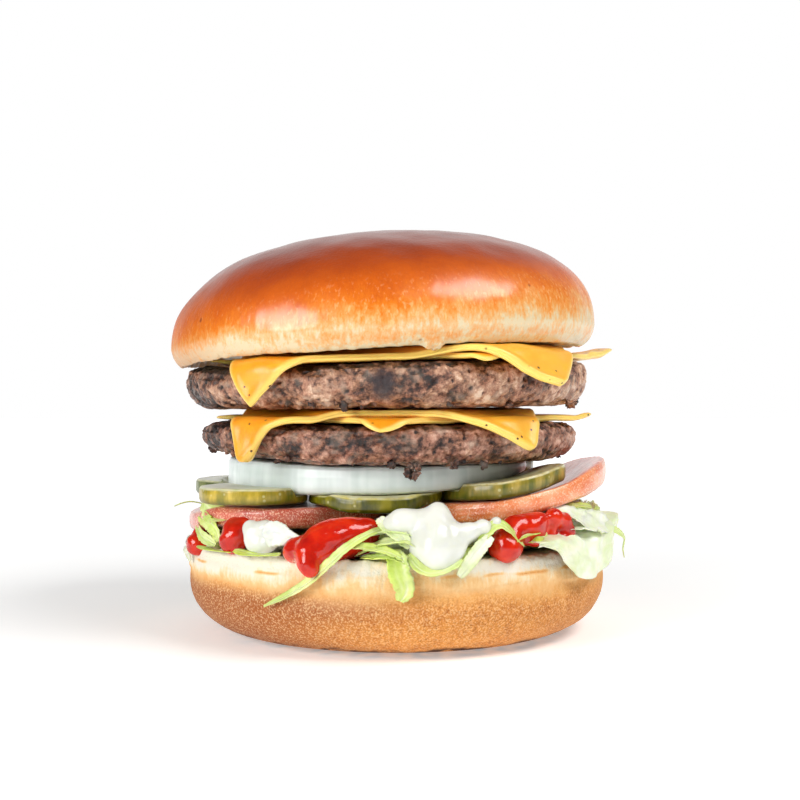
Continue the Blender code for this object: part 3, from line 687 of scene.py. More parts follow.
def cheese_finish(name, warm, bright):
    f = Finish(name, Roughness=0.36, Specular_IOR_Level=0.45, Subsurface_Weight=0.22,
               Subsurface_Radius=(0.004, 0.0016, 0.0004), Subsurface_Scale=0.4, Coat_Weight=0.15,
               Coat_Roughness=0.3)
    cloud = f.band(f.noise(7.0, 3.0), 0.35, 0.65)
    body = f.mix(cloud, warm, bright)
    # Painted highlight: the slices are lightened towards pale yellow on the right side.
    body = f.mix(f.math("MULTIPLY", f.field("sunny"), 0.7), body, "fcbe3c")
    # Painted highlight: the rim of each slice is lightened to pale yellow, as a lit edge.
    body = f.mix(f.math("MULTIPLY", f.field("edge"), 0.8), body, "ffdf78")
    pepper = f.math("MULTIPLY", f.band(f.spots(3.2), 0.13, 0.09), f.field("hang"))
    f.set(Base_Color=f.mix(pepper, body, "4a2c0a"))
    f.bumps((f.noise(2.4, 3.0), 0.12), (f.noise(0.6, 2.0), 0.02))
    return f.material


def cover_of(name):
    """How far a point lies over a slice: 1 on it and just past it, 0 well outside."""
    lower = CHEESE[name]

    def at(x, y):
        turn = lower["turn"]
        off_x, off_y = x - lower["centre"][0], y - lower["centre"][1]
        along = abs(off_x * cos(turn) + off_y * sin(turn))
        across = abs(off_y * cos(turn) - off_x * sin(turn))
        outside = np.maximum(along, across) - lower["side"] / 2.0
        return 1.0 - smooth((outside - 0.5) / 6.5)

    return at


def make_cheese(name, finish, thickness=1.7):
    piece, patty = CHEESE[name], PATTIES[CHEESE[name]["patty"]]
    centre = patty_centre(piece["patty"])
    cells_across = 120
    s = np.linspace(-1.0, 1.0, cells_across + 1)
    s = 0.5 * np.sign(s) * (1.0 - (1.0 - abs(s)) ** 1.45)
    u, v = np.meshgrid(s, s, indexing="ij")
    side, turn = piece["side"], piece["turn"]
    wavy = 1.0 + 0.006 * noise(np.stack([30.0 * u, 30.0 * v, 0.0 * u], axis=-1), 5.0, len(name))
    corner = np.abs(4.0 * u * v)
    dripping = piece.get("drip", 0.0)
    if "over" in piece:
        blunt = np.where(u > 0.0, 0.05, 0.03 if dripping else 0.016)
    else:
        blunt = np.where((u < 0.0) & (v < 0.0), 0.05, 0.016)
    blunt = wavy * (1.0 - blunt * corner ** 10)
    x = piece["centre"][0] + side * blunt * (u * cos(turn) - v * sin(turn))
    y = piece["centre"][1] + side * blunt * (u * sin(turn) + v * cos(turn))
    out_x, out_y = x - centre[0], y - centre[1]
    reach, angle = np.hypot(out_x, out_y), np.arctan2(out_y, out_x)

    slope, stretch, aside = np.full_like(angle, piece["rest"]), np.ones_like(angle), 0.0 * angle
    for middle, half_width, flap_slope, flap_stretch, flap_aside in piece["flaps"]:
        away = abs(angle_between(angle, middle)) / half_width
        share = smooth(1.5 * np.clip(1.0 - away, 0.0, 1.0))
        slope += share * (flap_slope - piece["rest"])
        stretch += share * (flap_stretch - 1.0)
        aside += share * flap_aside
    slope = np.radians(slope)
    sense = np.sign(slope)
    fold_start = patty_outline(piece["patty"])(angle) + 1.6 + thickness / 2.0 - CHEESE_FOLD
    past = np.clip(reach - fold_start, 0.0, None)
    bend = np.minimum(past / CHEESE_FOLD, abs(slope))
    straight = stretch * np.clip(past - CHEESE_FOLD * abs(slope), 0.0, None)
    straight = straight + 3.4 * dripping * bump(side * np.hypot(u + 0.47, v + 0.47) / 5.0)
    out = np.minimum(reach, fold_start) + CHEESE_FOLD * np.sin(bend) + straight * np.cos(slope)
    drop = sense * (CHEESE_FOLD * (1.0 - np.cos(bend)) + straight * np.sin(abs(slope)))
    share = np.minimum(1.0, fold_start / np.maximum(reach, 1.0))
    roof = patty_roof(piece["patty"], centre[0] + out_x * share, centre[1] + out_y * share)
    path = np.stack([centre[0] + out * np.cos(angle), centre[1] + out * np.sin(angle), roof - drop], axis=-1)
    path += (aside * past)[..., None] * np.stack([-np.sin(angle), np.cos(angle), 0.0 * angle], axis=-1)
    path[..., 0] -= piece.get("swell", 0.0) * past * bump((v - u - 0.13) / 0.16) * (u < 0.0) * (v < 0.0)
    tip = sense * np.sin(bend)
    normal = np.stack([tip * np.cos(angle), tip * np.sin(angle), np.cos(bend)], axis=-1)

    hang = smooth(past / 3.0)
    from_edge = side * (0.5 - np.maximum(abs(u), abs(v)))
    bead = 1.0 + 0.3 * hang * bump((from_edge - 1.1) / 1.6)
    rounded = np.sqrt(np.clip(1.0 - (1.0 - np.minimum(from_edge / 0.85, 1.0)) ** 2, 0.0, 1.0))
    drip = dripping * bump(side * np.hypot(u + 0.47, v + 0.47) / 3.4)
    half = (0.5 * thickness * bead * (1.0 - piece.get("taper", 0.0) * corner**4) + drip) * rounded
    rise = piece["rise"] + 0.5 * thickness
    if "over" in piece:
        rise = rise + thickness * 0.97 * cover_of(piece["over"])(x, y)
    ripple = 0.35 * noise(path, 9.0, 5 + len(name)) + 0.5 * hang * noise(path, 6.0, 9)
    lift = normal + piece.get("hug", 0.0) * (np.array([0.0, 0.0, 1.0]) - normal)
    middle = path + lift * (rise + 0.0 * ripple)[..., None] + normal * ripple[..., None]
    top, under = middle + normal * half[..., None], middle - normal * half[..., None]
    points = np.concatenate([top.reshape(-1, 3), under.reshape(-1, 3)])
    # Painted highlight along the rim: 1 at the edge, fading over 1.5 mm.
    edge = smooth((1.5 - from_edge) / 1.5)
    # Painted highlight to the right, rising with X.
    fields = {"edge": edge, "hang": hang, "sunny": smooth(path[..., 0] / 30.0)}
    fields = {field: np.concatenate([values.ravel()] * 2) for field, values in fields.items()}
    count = cells_across + 1
    new_piece(name + "_melt", points, sheet_faces(count, count), finish, [name], fields)


# ---------------------------------------------------------------- onion, pickles and tomato

ONION_CENTRE = (-5.1, 0.0)
ONION_RADIUS = 40.5
TOMATO_THICKNESS = 5.1
TOMATO_SWELL = 1.7
TOMATO_BED = 29.3
TOMATOES = {
    "tomato_left": {"centre": (-28.2, -2.0), "half": (27.1, 37.0), "seed": 21},
    "tomato_right": {"centre": (28.2, -3.0), "half": (27.3, 38.0), "seed": 22},
}
# Each pickle: middle, radius, thickness, height of its underside, slope along X, droop in front.
PICKLES = {
    "pickle_left": ((-35.6, -28.6), 13.4, 4.1, 35.3, 0.0, 0.0),
    "pickle_left_back": ((-39.7, 3.2), 15.2, 4.1, 35.2, 0.0, 0.0),
    "pickle_middle": ((-4.9, -27.4), 17.0, 3.9, 35.0, 0.0, 1.4),
    "pickle_right": ((27.1, -26.0), 15.3, 4.2, 37.0, 0.09, 0.0),
    "pickle_right_back": ((25.0, 25.0), 14.8, 3.8, 36.9, 0.09, 0.0),
    "pickle_back": ((-9.0, 30.5), 15.0, 3.6, 34.8, 0.0, 0.0),
}


def onion_floor(x):
    off = x - ONION_CENTRE[0]
    return box_mm("onion")[0][2] + np.where(off > 0.0, 0.0026, -0.0008) * off * off


def tomato_bed(x, y):
    """The underside of the tomato slices: they droop on the far left and rise to the right."""
    droop = 3.2 * smooth((-x - 42.0) / 14.0)
    rise = 0.0425 * (x - 3.0 + np.hypot(x - 3.0, 8.0))
    curl = 5.0 * smooth((np.hypot(x, y) - 43.0) / 13.0)
    curl = curl * np.clip(np.cos(np.arctan2(y, x) + radians(4)), 0.0, 1.0) ** 3
    return TOMATO_BED - droop + rise + curl


def layer(centre, outline, floor, roof, edge, knots, rows, columns):
    """Rings of a round layer. Each entry of edge is an inset from the outline and a level from 0
    on the floor to 1 on the roof."""
    angles = 2.0 * pi * np.arange(columns) / columns
    places = np.linspace(0.0, knots[-1], rows)
    inset, level = (np.interp(places, knots, column)[:, None] for column in zip(*edge))
    radii = np.maximum(outline(angles) - inset, 0.5 + 0.0 * angles)
    x = centre[0] + radii * np.cos(angles)
    y = centre[1] + radii * np.sin(angles)
    heights = (1.0 - level) * floor(x, y) + level * roof(x, y)
    return ring_points(centre, radii, heights, angles), angles, inset, level


def onion_finish():
    f = Finish("onion_flesh", Roughness=0.28, Specular_IOR_Level=0.5, Subsurface_Weight=0.55,
               Subsurface_Radius=(0.004, 0.0045, 0.004), Subsurface_Scale=0.6, Coat_Weight=0.12,
               Coat_Roughness=0.2)
    rib = f.field("rib")
    level = f.field("level")
    cloud = f.band(f.noise(6.0, 2.0), 0.35, 0.65)
    flesh = f.mix(cloud, "d6e2de", "e4eeea")
    flesh = f.mix(f.band(rib, 0.0, 0.7, 0.0, 0.6), flesh, "f6fbf8")
    flesh = f.mix(f.band(rib, 0.0, -0.7, 0.0, 0.42), flesh, "b4c2bc")
    low = f.math("MULTIPLY", f.band(level, 0.35, 0.0), 0.35)
    f.set(Base_Color=f.mix(low, flesh, "c8c9b2"))
    f.bumps((f.noise(1.6, 2.0, (1.0, 1.0, 0.15)), 0.06))
    return f.material


def make_onion():
    low, high = box_mm("onion")
    uneven = wobble(5, 0.5, waves=(2, 3, 4))
    edge = [(40, 0), (20, 0), (4, 0), (1.0, 0.02), (0.25, 0.1), (0.0, 0.25), (0.0, 0.6), (0.2, 0.86),
            (0.7, 0.97), (1.4, 1.0), (5, 1.0), (20, 1.0), (40, 1.0)]
    knots = [0, 1, 3, 5, 7, 10, 16, 20, 22.5, 24.5, 27, 29, 30]
    rings, angles, inset, level = layer(
        ONION_CENTRE, lambda a: ONION_RADIUS + uneven(a), lambda x, y: onion_floor(x),
        lambda x, y: high[2] + 0.8 * smooth((-x - 12.0) / 28.0), edge, knots, 60, 420)
    around = np.stack([np.cos(angles), np.sin(angles), 0.0 * angles], axis=-1) * ONION_RADIUS
    rib = 0.6 * noise(around, 3.4, 61) + 0.5 * noise(around, 1.1, 62)
    layers = np.sin(inset * 2.0 * pi / 4.2 + 1.2 * noise(rings, 9.0, 63))
    push = 0.12 * rib * smooth((6.0 - inset) / 4.0) + 0.14 * layers * smooth((inset - 1.0) / 1.5)
    push = push + 0.25 * rough(rings, 12.0, 64, 2)
    rings = rings + push[..., None] * outward(rings)
    ring_piece("onion_slice", rings, onion_finish(), ["onion"],
               {"rib": rib + 0.0 * rings[..., 0], "level": level + 0.0 * rings[..., 0]})


def pickle_finish(name, skin_dark, skin, skin_light, flesh):
    f = Finish(name, Roughness=0.3, Specular_IOR_Level=0.5, Subsurface_Weight=0.2,
               Subsurface_Radius=(0.002, 0.0018, 0.0004), Subsurface_Scale=0.4, Coat_Weight=0.2,
               Coat_Roughness=0.12)
    wide = f.noise(3.4, 3.0, (1.0, 1.0, 0.25))
    fine = f.noise(0.9, 2.0, (1.0, 1.0, 0.35))
    peel = f.ramp(f.math("ADD", f.math("MULTIPLY", wide, 0.75), f.math("MULTIPLY", fine, 0.25)),
                  (0.34, skin_dark), (0.5, skin), (0.64, skin_light))
    peel = f.mix(f.math("MULTIPLY", f.band(f.spots(2.3), 0.2, 0.1), 0.5), peel, "d8d6a0")
    cut = f.ramp(f.noise(2.0, 3.0), (0.35, flesh), (0.65, "d9d6ae"))
    pulp = f.mix(f.band(f.field("heart"), 0.4, 0.6), cut, "b9b884")
    pulp = f.mix(f.band(f.spots(2.6, (1.0, 0.6, 1.0)), 0.3, 0.2, 0.0, 0.4), pulp, "ded9b4")
    peel = f.mix(f.band(f.field("low"), 0.55, 0.95, 0.0, 0.75), peel, "3a4408")
    f.set(Base_Color=f.mix(f.field("skin"), pulp, peel))
    f.bumps((fine, 0.08), (f.noise(2.6, 2.0), 0.1))
    return f.material


def make_pickle(name, finish):
    centre, radius, thickness, height, slope, droop = PICKLES[name]
    uneven = wobble(len(name), 0.45, waves=(2, 3, 4))
    notch = wobble(len(name) + 3, 0.16, waves=(9, 13, 17, 23))

    def floor(x, y):
        lift = 2.2 * smooth((x - 28.0) / 15.0)
        above_tomato = tomato_bed(x, y) + TOMATO_THICKNESS + 0.15
        sag = droop * smooth((-y - 37.5) / 6.0)
        return np.maximum(height + slope * (x - centre[0]) + lift, above_tomato) - sag

    def roof(x, y):
        under_onion = smooth((ONION_RADIUS + 1.6 - np.hypot(x - ONION_CENTRE[0], y)) / 1.6)
        free = floor(x, y) + thickness
        return free + under_onion * np.minimum(onion_floor(x) - 0.1 - free, 0.0)

    edge = [(14, 0), (7, 0), (1.5, 0), (0.45, 0.06), (0.05, 0.25), (0.0, 0.6), (0.1, 0.85), (0.5, 0.98),
            (1.1, 1.0), (3, 0.99), (7, 0.98), (14, 0.98)]
    knots = [0, 1, 2, 3, 4.5, 7, 9, 10.5, 12, 13.5, 15, 16]
    rings, angles, inset, level = layer(
        centre, lambda a: radius + uneven(a) + notch(a), floor, roof, edge, knots, 40, 200)
    push = 0.16 * rough(rings, 5.0, 70 + len(name), 3) * smooth((5.0 - inset) / 4.0)
    rings = rings + push[..., None] * outward(rings)
    skin = smooth((0.93 - level) / 0.1) * smooth((3.0 - inset) / 1.0) + 0.0 * rings[..., 0]
    heart = inset / radius + 0.0 * rings[..., 0]
    low = 1.0 - level + 0.0 * rings[..., 0]
    fields = {"skin": skin, "heart": heart, "low": low}
    ring_piece(name + "_slice", rings, finish, [name], fields)


def tomato_finish(name, deep, skin, light):
    f = Finish(name, Roughness=0.3, Specular_IOR_Level=0.5, Subsurface_Weight=0.25,
               Subsurface_Radius=(0.004, 0.0012, 0.0008), Subsurface_Scale=0.5, Coat_Weight=0.6,
               Coat_Roughness=0.14)
    cloud = f.noise(6.0, 3.0)
    peel = f.ramp(cloud, (0.3, deep), (0.5, skin), (0.72, light))
    # Painted glints: pale specks over the skin stand for sparkling highlights.
    dots = f.band(f.noise(0.4, 1.0), 0.52, 0.64, 0.0, 0.7)
    peel = f.mix(dots, peel, "fbcfb0")
    flesh = f.ramp(f.noise(3.4, 4.0, twist=1.5), (0.3, "c44c3a"), (0.5, "e07a64"), (0.7, "f0a892"))
    flesh = f.mix(f.band(f.noise(1.1, 2.0), 0.56, 0.68, 0.0, 0.5), flesh, "f6c4ae")
    f.set(Base_Color=f.mix(f.field("skin"), flesh, peel))
    f.bumps((f.noise(0.5, 1.0), 0.09), (f.noise(2.2, 3.0), 0.16))
    return f.material


def make_tomato(name, finish):
    tomato = TOMATOES[name]
    across, deep = tomato["half"]
    uneven = wobble(tomato["seed"], 0.6, waves=(2, 3, 5))

    def outline(angle):
        oval = across * deep / np.hypot(deep * np.cos(angle), across * np.sin(angle))
        return oval + uneven(angle)

    edge = [(30, 0), (12, 0), (2.5, 0), (0.9, 0.04), (0.25, 0.18), (0.0, 0.45), (0.05, 0.75), (0.4, 0.94),
            (1.1, 1.0), (3, 1.0), (9, 1.0), (30, 1.0)]
    knots = [0, 1, 2.5, 4, 6, 9.5, 13, 15.5, 17.5, 19.5, 22, 24]
    rings, angles, inset, level = layer(
        tomato["centre"], outline, tomato_bed,
        lambda x, y: tomato_bed(x, y) + TOMATO_THICKNESS + TOMATO_SWELL * smooth((x - 40.0) / 12.0),
        edge, knots, 56, 340)
    push = 0.3 * rough(rings, 10.0, 80 + tomato["seed"], 3) + 0.06 * rough(rings, 1.5, 81, 2)
    rings = rings + push[..., None] * outward(rings)
    skin = smooth((1.1 - inset) / 0.6) + 0.0 * rings[..., 0]
    ring_piece(name + "_slice", rings, finish, [name], {"skin": skin})


# ---------------------------------------------------------------- sauces

# Balls of sauce where it shows, as place and radius.
KETCHUP = (
    (-50.6, -21.5, 23.9, 3.0), (-49.6, -19.6, 26.6, 2.3), (-46.6, -18.4, 28.0, 2.6),
    (-39.8, -36.6, 26.4, 3.3), (-38.2, -36.8, 28.4, 3.1), (-39.6, -35.4, 29.8, 2.4), (-36.4, -35.6, 30.4, 2.5),
    (-17.0, -50.8, 27.2, 5.0), (-13.2, -49.8, 28.6, 4.7), (-9.4, -48.9, 29.2, 4.1), (-6.4, -47.8, 30.2, 2.8),
    (-20.2, -53.2, 25.2, 3.4), (-20.0, -54.9, 23.2, 2.4), (-19.4, -55.6, 21.9, 1.7), (-23.2, -49.8, 26.0, 2.9),
    (-24.2, -48.8, 24.8, 2.0), (-12.0, -46.0, 26.5, 4.0), (-7.5, -47.5, 27.2, 3.0),
    (25.8, -47.4, 26.5, 4.2), (27.4, -45.6, 29.6, 2.8),
    (28.2, -45.0, 31.0, 2.6), (31.4, -43.8, 30.8, 3.2), (34.2, -42.4, 31.6, 2.5), (38.0, -39.8, 32.2, 2.6),
    (40.6, -37.4, 31.2, 2.4), (41.2, -36.8, 28.6, 2.5), (39.8, -38.2, 26.6, 2.3), (33.2, -42.4, 28.2, 2.6),
    (36.6, -39.8, 28.6, 2.0), (30.6, -43.6, 28.4, 2.2),
)
MAYONNAISE = (
    (-33.8, -42.0, 29.0, 2.7), (-31.0, -43.4, 29.8, 2.5), (-33.6, -42.6, 26.6, 2.4), (-30.6, -44.0, 26.8, 2.4),
    (-35.0, -41.0, 30.2, 1.7), (-28.6, -44.8, 28.4, 2.2), (-32.0, -43.4, 25.2, 1.8),
    (1.2, -51.8, 32.4, 3.3), (-1.4, -50.8, 31.4, 2.2), (5.0, -51.4, 31.8, 3.7), (9.4, -51.8, 32.9, 3.5),
    (9.8, -51.4, 34.8, 2.2), (9.4, -53.4, 30.4, 4.4), (9.2, -55.0, 27.4, 4.6), (9.4, -56.0, 25.3, 3.8),
    (12.6, -54.6, 26.6, 3.4), (6.0, -54.0, 27.4, 3.2), (14.0, -53.4, 29.4, 3.1), (17.2, -52.4, 30.2, 2.4),
    (20.2, -51.0, 31.2, 2.0), (23.4, -49.6, 32.0, 1.6),
)
# Lobes on the far side: angle in degrees, how far out, height and size.
KETCHUP_FAR = ((35.0, 50.5, 28.2, 3.0), (118.0, 50.5, 28.4, 3.4), (-170.0, 50.0, 26.6, 2.0))
MAYONNAISE_FAR = ((76.0, 50.0, 29.5, 3.6), (158.0, 49.0, 26.8, 2.8))


def far_balls(lobes, seed):
    """Balls along a lobe of sauce that swells out between the layers, with a drip or two."""
    rng = np.random.default_rng(seed)
    balls = []
    for middle, out, height, size in lobes:
        for step in np.linspace(-1.0, 1.0, 7):
            angle = radians(middle + 11.0 * step)
            r = out - 2.6 * step * step + rng.uniform(-0.6, 0.6)
            ball = size * (1.0 - 0.3 * step * step) * rng.uniform(0.8, 1.1)
            z = height + rng.uniform(-0.7, 0.7)
            balls.append((r * cos(angle), r * sin(angle), z, ball))
            if rng.random() < 0.35:
                r += 1.8
                balls.append((r * cos(angle), r * sin(angle), z - 2.2, 0.6 * ball))
    return tuple(balls)


def sauce_mesh(name, balls):
    """Points and faces of one smooth body around the balls."""
    meta = bpy.data.metaballs.new(name)
    meta.resolution = meta.render_resolution = 0.5
    meta.threshold = 0.6
    for x, y, z, radius in balls:
        ball = meta.elements.new()
        ball.co = (x, y, z)
        ball.stiffness = 2.4
        ball.radius = radius * 1.63
    holder = bpy.data.objects.new(name, meta)
    bpy.context.scene.collection.objects.link(holder)
    bpy.context.view_layer.update()
    mesh = holder.evaluated_get(bpy.context.evaluated_depsgraph_get()).to_mesh()
    points = np.array([vertex.co for vertex in mesh.vertices])
    faces = [list(face.vertices) for face in mesh.polygons]
    bpy.data.objects.remove(holder)
    bpy.data.metaballs.remove(meta)
    return points, faces


def spread_rings(radius, under, over):
    """A thin layer of sauce pressed under the tomato slices."""
    columns = 96
    angles = 2.0 * pi * np.arange(columns) / columns
    edge = np.array([(0.1, 0.0), (0.6, 0.0), (0.97, 0.0), (1.0, 0.5), (0.97, 1.0), (0.6, 1.0), (0.1, 1.0)])
    radii = edge[:, :1] * (radius + wobble(int(radius), 1.2)(angles))
    x, y = radii * np.cos(angles), radii * np.sin(angles)
    heights = tomato_bed(x, y) - under + edge[:, 1:] * (under - over)
    return ring_points((0.0, 0.0), radii, heights, angles)


def make_sauce(name, balls, spread, finish):
    points, faces = sauce_mesh(name + "_balls", balls)
    lumpy = 0.5 * noise(points, 4.6, 90) + 0.16 * noise(points, 1.9, 91)
    points = points + lumpy[:, None] * unit(points * np.array([1.0, 1.0, 0.0]))
    rings = spread_rings(*spread)
    rows, columns = rings.shape[:2]
    flat = np.vstack([rings[0].mean(axis=0), rings.reshape(-1, 3), rings[-1].mean(axis=0)])
    start = len(points)
    faces += [[start + k for k in face] for face in ring_faces(rows, columns)]
    new_piece(name + "_sauce", np.vstack([points, flat]), faces, finish, [name])


def ketchup_finish():
    f = Finish("ketchup_gloss", Roughness=0.12, Specular_IOR_Level=0.4, Subsurface_Weight=0.25,
               Subsurface_Radius=(0.003, 0.0004, 0.0002), Subsurface_Scale=0.4, Coat_Weight=0.3,
               Coat_Roughness=0.04)
    f.set(Base_Color=f.ramp(f.noise(5.0, 3.0), (0.3, "a81002"), (0.5, "c61c04"), (0.7, "de320a")))
    f.bumps((f.noise(2.2, 3.0), 0.2))
    return f.material


def mayonnaise_finish():
    f = Finish("mayonnaise_cream", Roughness=0.26, Specular_IOR_Level=0.5, Subsurface_Weight=0.5,
               Subsurface_Radius=(0.003, 0.003, 0.002), Subsurface_Scale=0.5, Coat_Weight=0.3,
               Coat_Roughness=0.12)
    f.set(Base_Color=f.ramp(f.noise(6.0, 2.0), (0.3, "dadcd1"), (0.7, "e6e8e1")))
    f.bumps((f.noise(4.0, 2.0), 0.15))
    return f.material


# ---------------------------------------------------------------- lettuce

# Strips of leaf at the front. Each: the points it runs through, width, how far its face turns up
# (0 faces outward, 1 faces up), how pale it is, and how much it curls across.
STRIPS = (
    (((2.0, -50.5, 30.6), (-3.7, -52.0, 30.8), (-10.5, -56.0, 27.7), (-15.0, -56.9, 23.9), (-19.8, -54.4, 19.4),
      (-24.6, -51.5, 16.0), (-31.1, -47.4, 12.3)), 2.4, 0.3, 0.25, 0.3),
    (((-9.0, -51.5, 25.0), (-2.5, -54.5, 27.9), (3.2, -55.5, 28.6), (7.4, -55.5, 26.0)), 4.6, 0.6, 0.3, 0.8),
    (((-7.1, -50.0, 28.9), (-1.3, -53.0, 30.4), (4.4, -53.8, 29.4), (8.0, -53.0, 29.0)), 3.4, 0.8, 0.55, 0.5),
    (((-8.0, -53.0, 24.4), (-4.0, -56.4, 25.0), (-0.2, -57.0, 25.2), (4.2, -56.6, 23.2)), 3.6, 0.5, 0.1, 0.7),
    (((-1.0, -54.0, 26.0), (0.1, -57.2, 24.6), (0.9, -58.0, 21.0), (2.0, -57.8, 17.9), (0.9, -57.2, 15.0)),
     5.2, 0.0, 0.2, 0.5),
    (((3.0, -55.5, 25.6), (5.0, -58.2, 23.0), (8.4, -59.2, 21.8), (12.6, -58.4, 23.0), (15.0, -56.5, 24.6)),
     2.9, 0.4, 0.2, 0.5),
    (((14.4, -57.0, 20.6), (16.8, -55.8, 23.8), (19.4, -54.0, 26.9), (22.2, -52.0, 29.2)), 3.4, 0.2, 0.6, 0.5),
    (((17.8, -54.0, 24.0), (20.4, -52.4, 29.4), (23.6, -51.0, 31.9), (26.4, -50.4, 30.6), (28.4, -49.6, 28.4),
      (30.0, -49.0, 26.6)), 2.8, 0.45, 0.15, 0.4),
    (((13.0, -54.5, 22.6), (17.0, -53.0, 25.2), (21.0, -51.0, 27.0)), 3.0, 0.6, 0.0, 0.6),
    (((30.6, -45.0, 27.6), (33.4, -45.4, 28.6), (36.2, -44.0, 27.6), (38.4, -42.4, 26.4)), 4.0, 0.5, 0.15, 0.8),
    (((37.0, -38.0, 33.6), (42.4, -35.6, 33.0), (46.6, -31.8, 31.0), (51.6, -26.0, 28.4)), 5.0, 0.35, 0.95, 0.6),
    (((41.0, -33.0, 33.9), (45.0, -31.0, 34.6), (49.0, -27.0, 34.0)), 2.6, 0.5, 0.1, 0.5),
    (((46.0, -26.0, 31.0), (51.4, -22.6, 30.2), (54.6, -20.6, 28.2), (57.2, -18.8, 26.8), (58.9, -17.6, 25.0),
      (58.6, -17.6, 22.4), (59.0, -17.0, 20.0)), 1.7, 0.2, 0.25, 0.3),
    (((38.0, -38.0, 29.0), (44.0, -35.0, 30.4), (50.4, -28.6, 30.0), (54.6, -20.0, 29.0)), 6.6, 0.5, 0.95, 0.8),
    (((-48.8, -23.4, 35.6), (-47.8, -26.2, 34.2), (-45.6, -29.6, 32.8), (-42.8, -32.6, 32.0), (-41.0, -34.0, 31.6)),
     5.6, 0.35, 0.2, 0.7),
    (((-49.8, -24.0, 31.6), (-47.0, -28.6, 30.6), (-44.8, -31.6, 29.0), (-43.4, -33.8, 26.4)), 4.0, 0.3, 0.12, 0.8),
    (((-51.0, -20.8, 29.0), (-48.6, -27.0, 26.8), (-44.6, -32.6, 25.0)), 3.0, 0.3, 0.3, 0.8),
    (((-50.0, -27.0, 24.0), (-45.4, -33.6, 23.9), (-40.0, -39.6, 24.0)), 1.6, 0.8, 0.0, 0.2),
    (((-39.0, -40.8, 24.6), (-33.4, -46.2, 24.2), (-27.0, -50.0, 24.8)), 2.6, 0.7, 0.0, 0.3),
    (((-4.0, -51.0, 33.4), (-2.4, -52.6, 31.8), (1.0, -54.6, 29.6), (3.2, -55.6, 27.0)), 3.6, 0.3, 0.5, 0.8),
    (((-12.0, -53.6, 27.4), (-7.0, -55.8, 27.0), (-2.0, -57.0, 26.2), (1.6, -57.4, 24.6)), 3.0, 0.5, 0.2, 0.8),
    (((24.0, -50.4, 25.0), (27.0, -50.0, 27.4), (30.4, -47.8, 29.0), (34.0, -45.4, 29.4)), 2.2, 0.6, 0.1, 0.8),
    (((-51.0, -4.0, 32.6), (-55.0, -4.6, 33.4), (-57.6, -5.0, 33.0), (-59.6, -5.4, 32.2)), 1.1, 0.5, 0.2, 0.2),
)


def leaf_finish():
    f = Finish("lettuce_leaf", Roughness=0.34, Specular_IOR_Level=0.45, Subsurface_Weight=0.3,
               Subsurface_Radius=(0.0015, 0.002, 0.0006), Subsurface_Scale=0.3, Coat_Weight=0.15,
               Coat_Roughness=0.15)
    pale = f.field("pale")
    cloud = f.band(f.noise(4.0, 3.0), 0.35, 0.65)
    green = f.mix(cloud, "b4cc3c", "d8ea68")
    light = f.mix(cloud, "e2ecc4", "f2f6e8")
    leaf = f.mix(pale, green, light)
    vein = f.field("vein")
    leaf = f.mix(f.math("MULTIPLY", vein, 0.6), leaf, "f0f4d0")
    leaf = f.mix(f.field("rib"), leaf, "dfe3da")
    # Painted shade: the shade field pulls the leaf towards a deep green where pieces lie in shadow.
    f.set(Base_Color=f.mix(f.field("shade"), leaf, "4d5a14"))
    f.bumps((vein, 0.15), (f.noise(1.3, 3.0), 0.22))
    return f.material


def strip_points(path, width, face_up, pale, curl, seed, steps=44, across=9, thickness=0.4, taper=0.0):
    """A cut strip of leaf along a path, as top points, points below them, and how pale each is."""
    rng = np.random.default_rng(seed)
    line = through(path, steps)
    tangent = unit(np.gradient(line, axis=0))
    out = unit(line * np.array([1.0, 1.0, 0.0]))
    share = face_up + 0.25 * np.sin(np.linspace(0.0, rng.uniform(2.0, 5.0), steps) + rng.uniform(0, 6))
    face = unit(out * np.cos(share * pi / 2.0)[:, None] + np.array([0, 0, 1.0]) * np.sin(share * pi / 2.0)[:, None])
    aside = unit(np.cross(tangent, face))
    face = unit(np.cross(aside, tangent))
    s = np.linspace(0.0, 1.0, steps)
    body = np.clip(np.sin(pi * np.clip(s, 0.02, 0.98)), 0.0, 1.0) ** rng.uniform(0.25, 0.5)
    body = body * (1.0 - taper * smooth((s - 0.2) / 0.8))
    v = np.linspace(-1.0, 1.0, across)[None, :]
    jag = np.stack([s * len(path) * 4.0, 0.0 * s + seed, 0.0 * s], axis=-1)
    left = body * (1.0 + 0.22 * noise(jag, 1.0, seed))
    right = body * (1.0 + 0.22 * noise(jag, 1.0, seed + 1))
    half = 0.5 * width * np.where(v < 0.0, left[:, None], right[:, None])
    ruffle = noise(np.stack([np.broadcast_to(s[:, None] * len(path) * 2.2, half.shape),
                             np.broadcast_to(np.sign(v) * 3.0, half.shape), 0.0 * half], axis=-1), 1.0, seed + 2)
    lift = width * (0.28 * curl * (v * v - 0.3) + 0.2 * curl * ruffle * v * v) * body[:, None]
    middle = line[:, None, :] + aside[:, None, :] * (half * v)[..., None] + face[:, None, :] * lift[..., None]
    thin = thickness * (0.35 + 0.65 * (1.0 - v * v)) * (0.4 + 0.6 * body[:, None])
    offset = face[:, None, :] * (0.5 * thin)[..., None]
    tone = np.clip(pale + 0.35 * (1.0 - v * v) * (pale > 0.35) + 0.25 * noise(middle, 5.0, seed + 3), 0.0, 1.0)
    rib = rng.uniform(-0.4, 0.4) + 0.2 * np.sin(3.0 * s[:, None] + seed)
    vein = bump((v - rib) / 0.22) + 0.5 * bump((v - rib - 0.6) / 0.16) + 0.5 * bump((v - rib + 0.6) / 0.16)
    return middle + offset, middle - offset, tone, vein


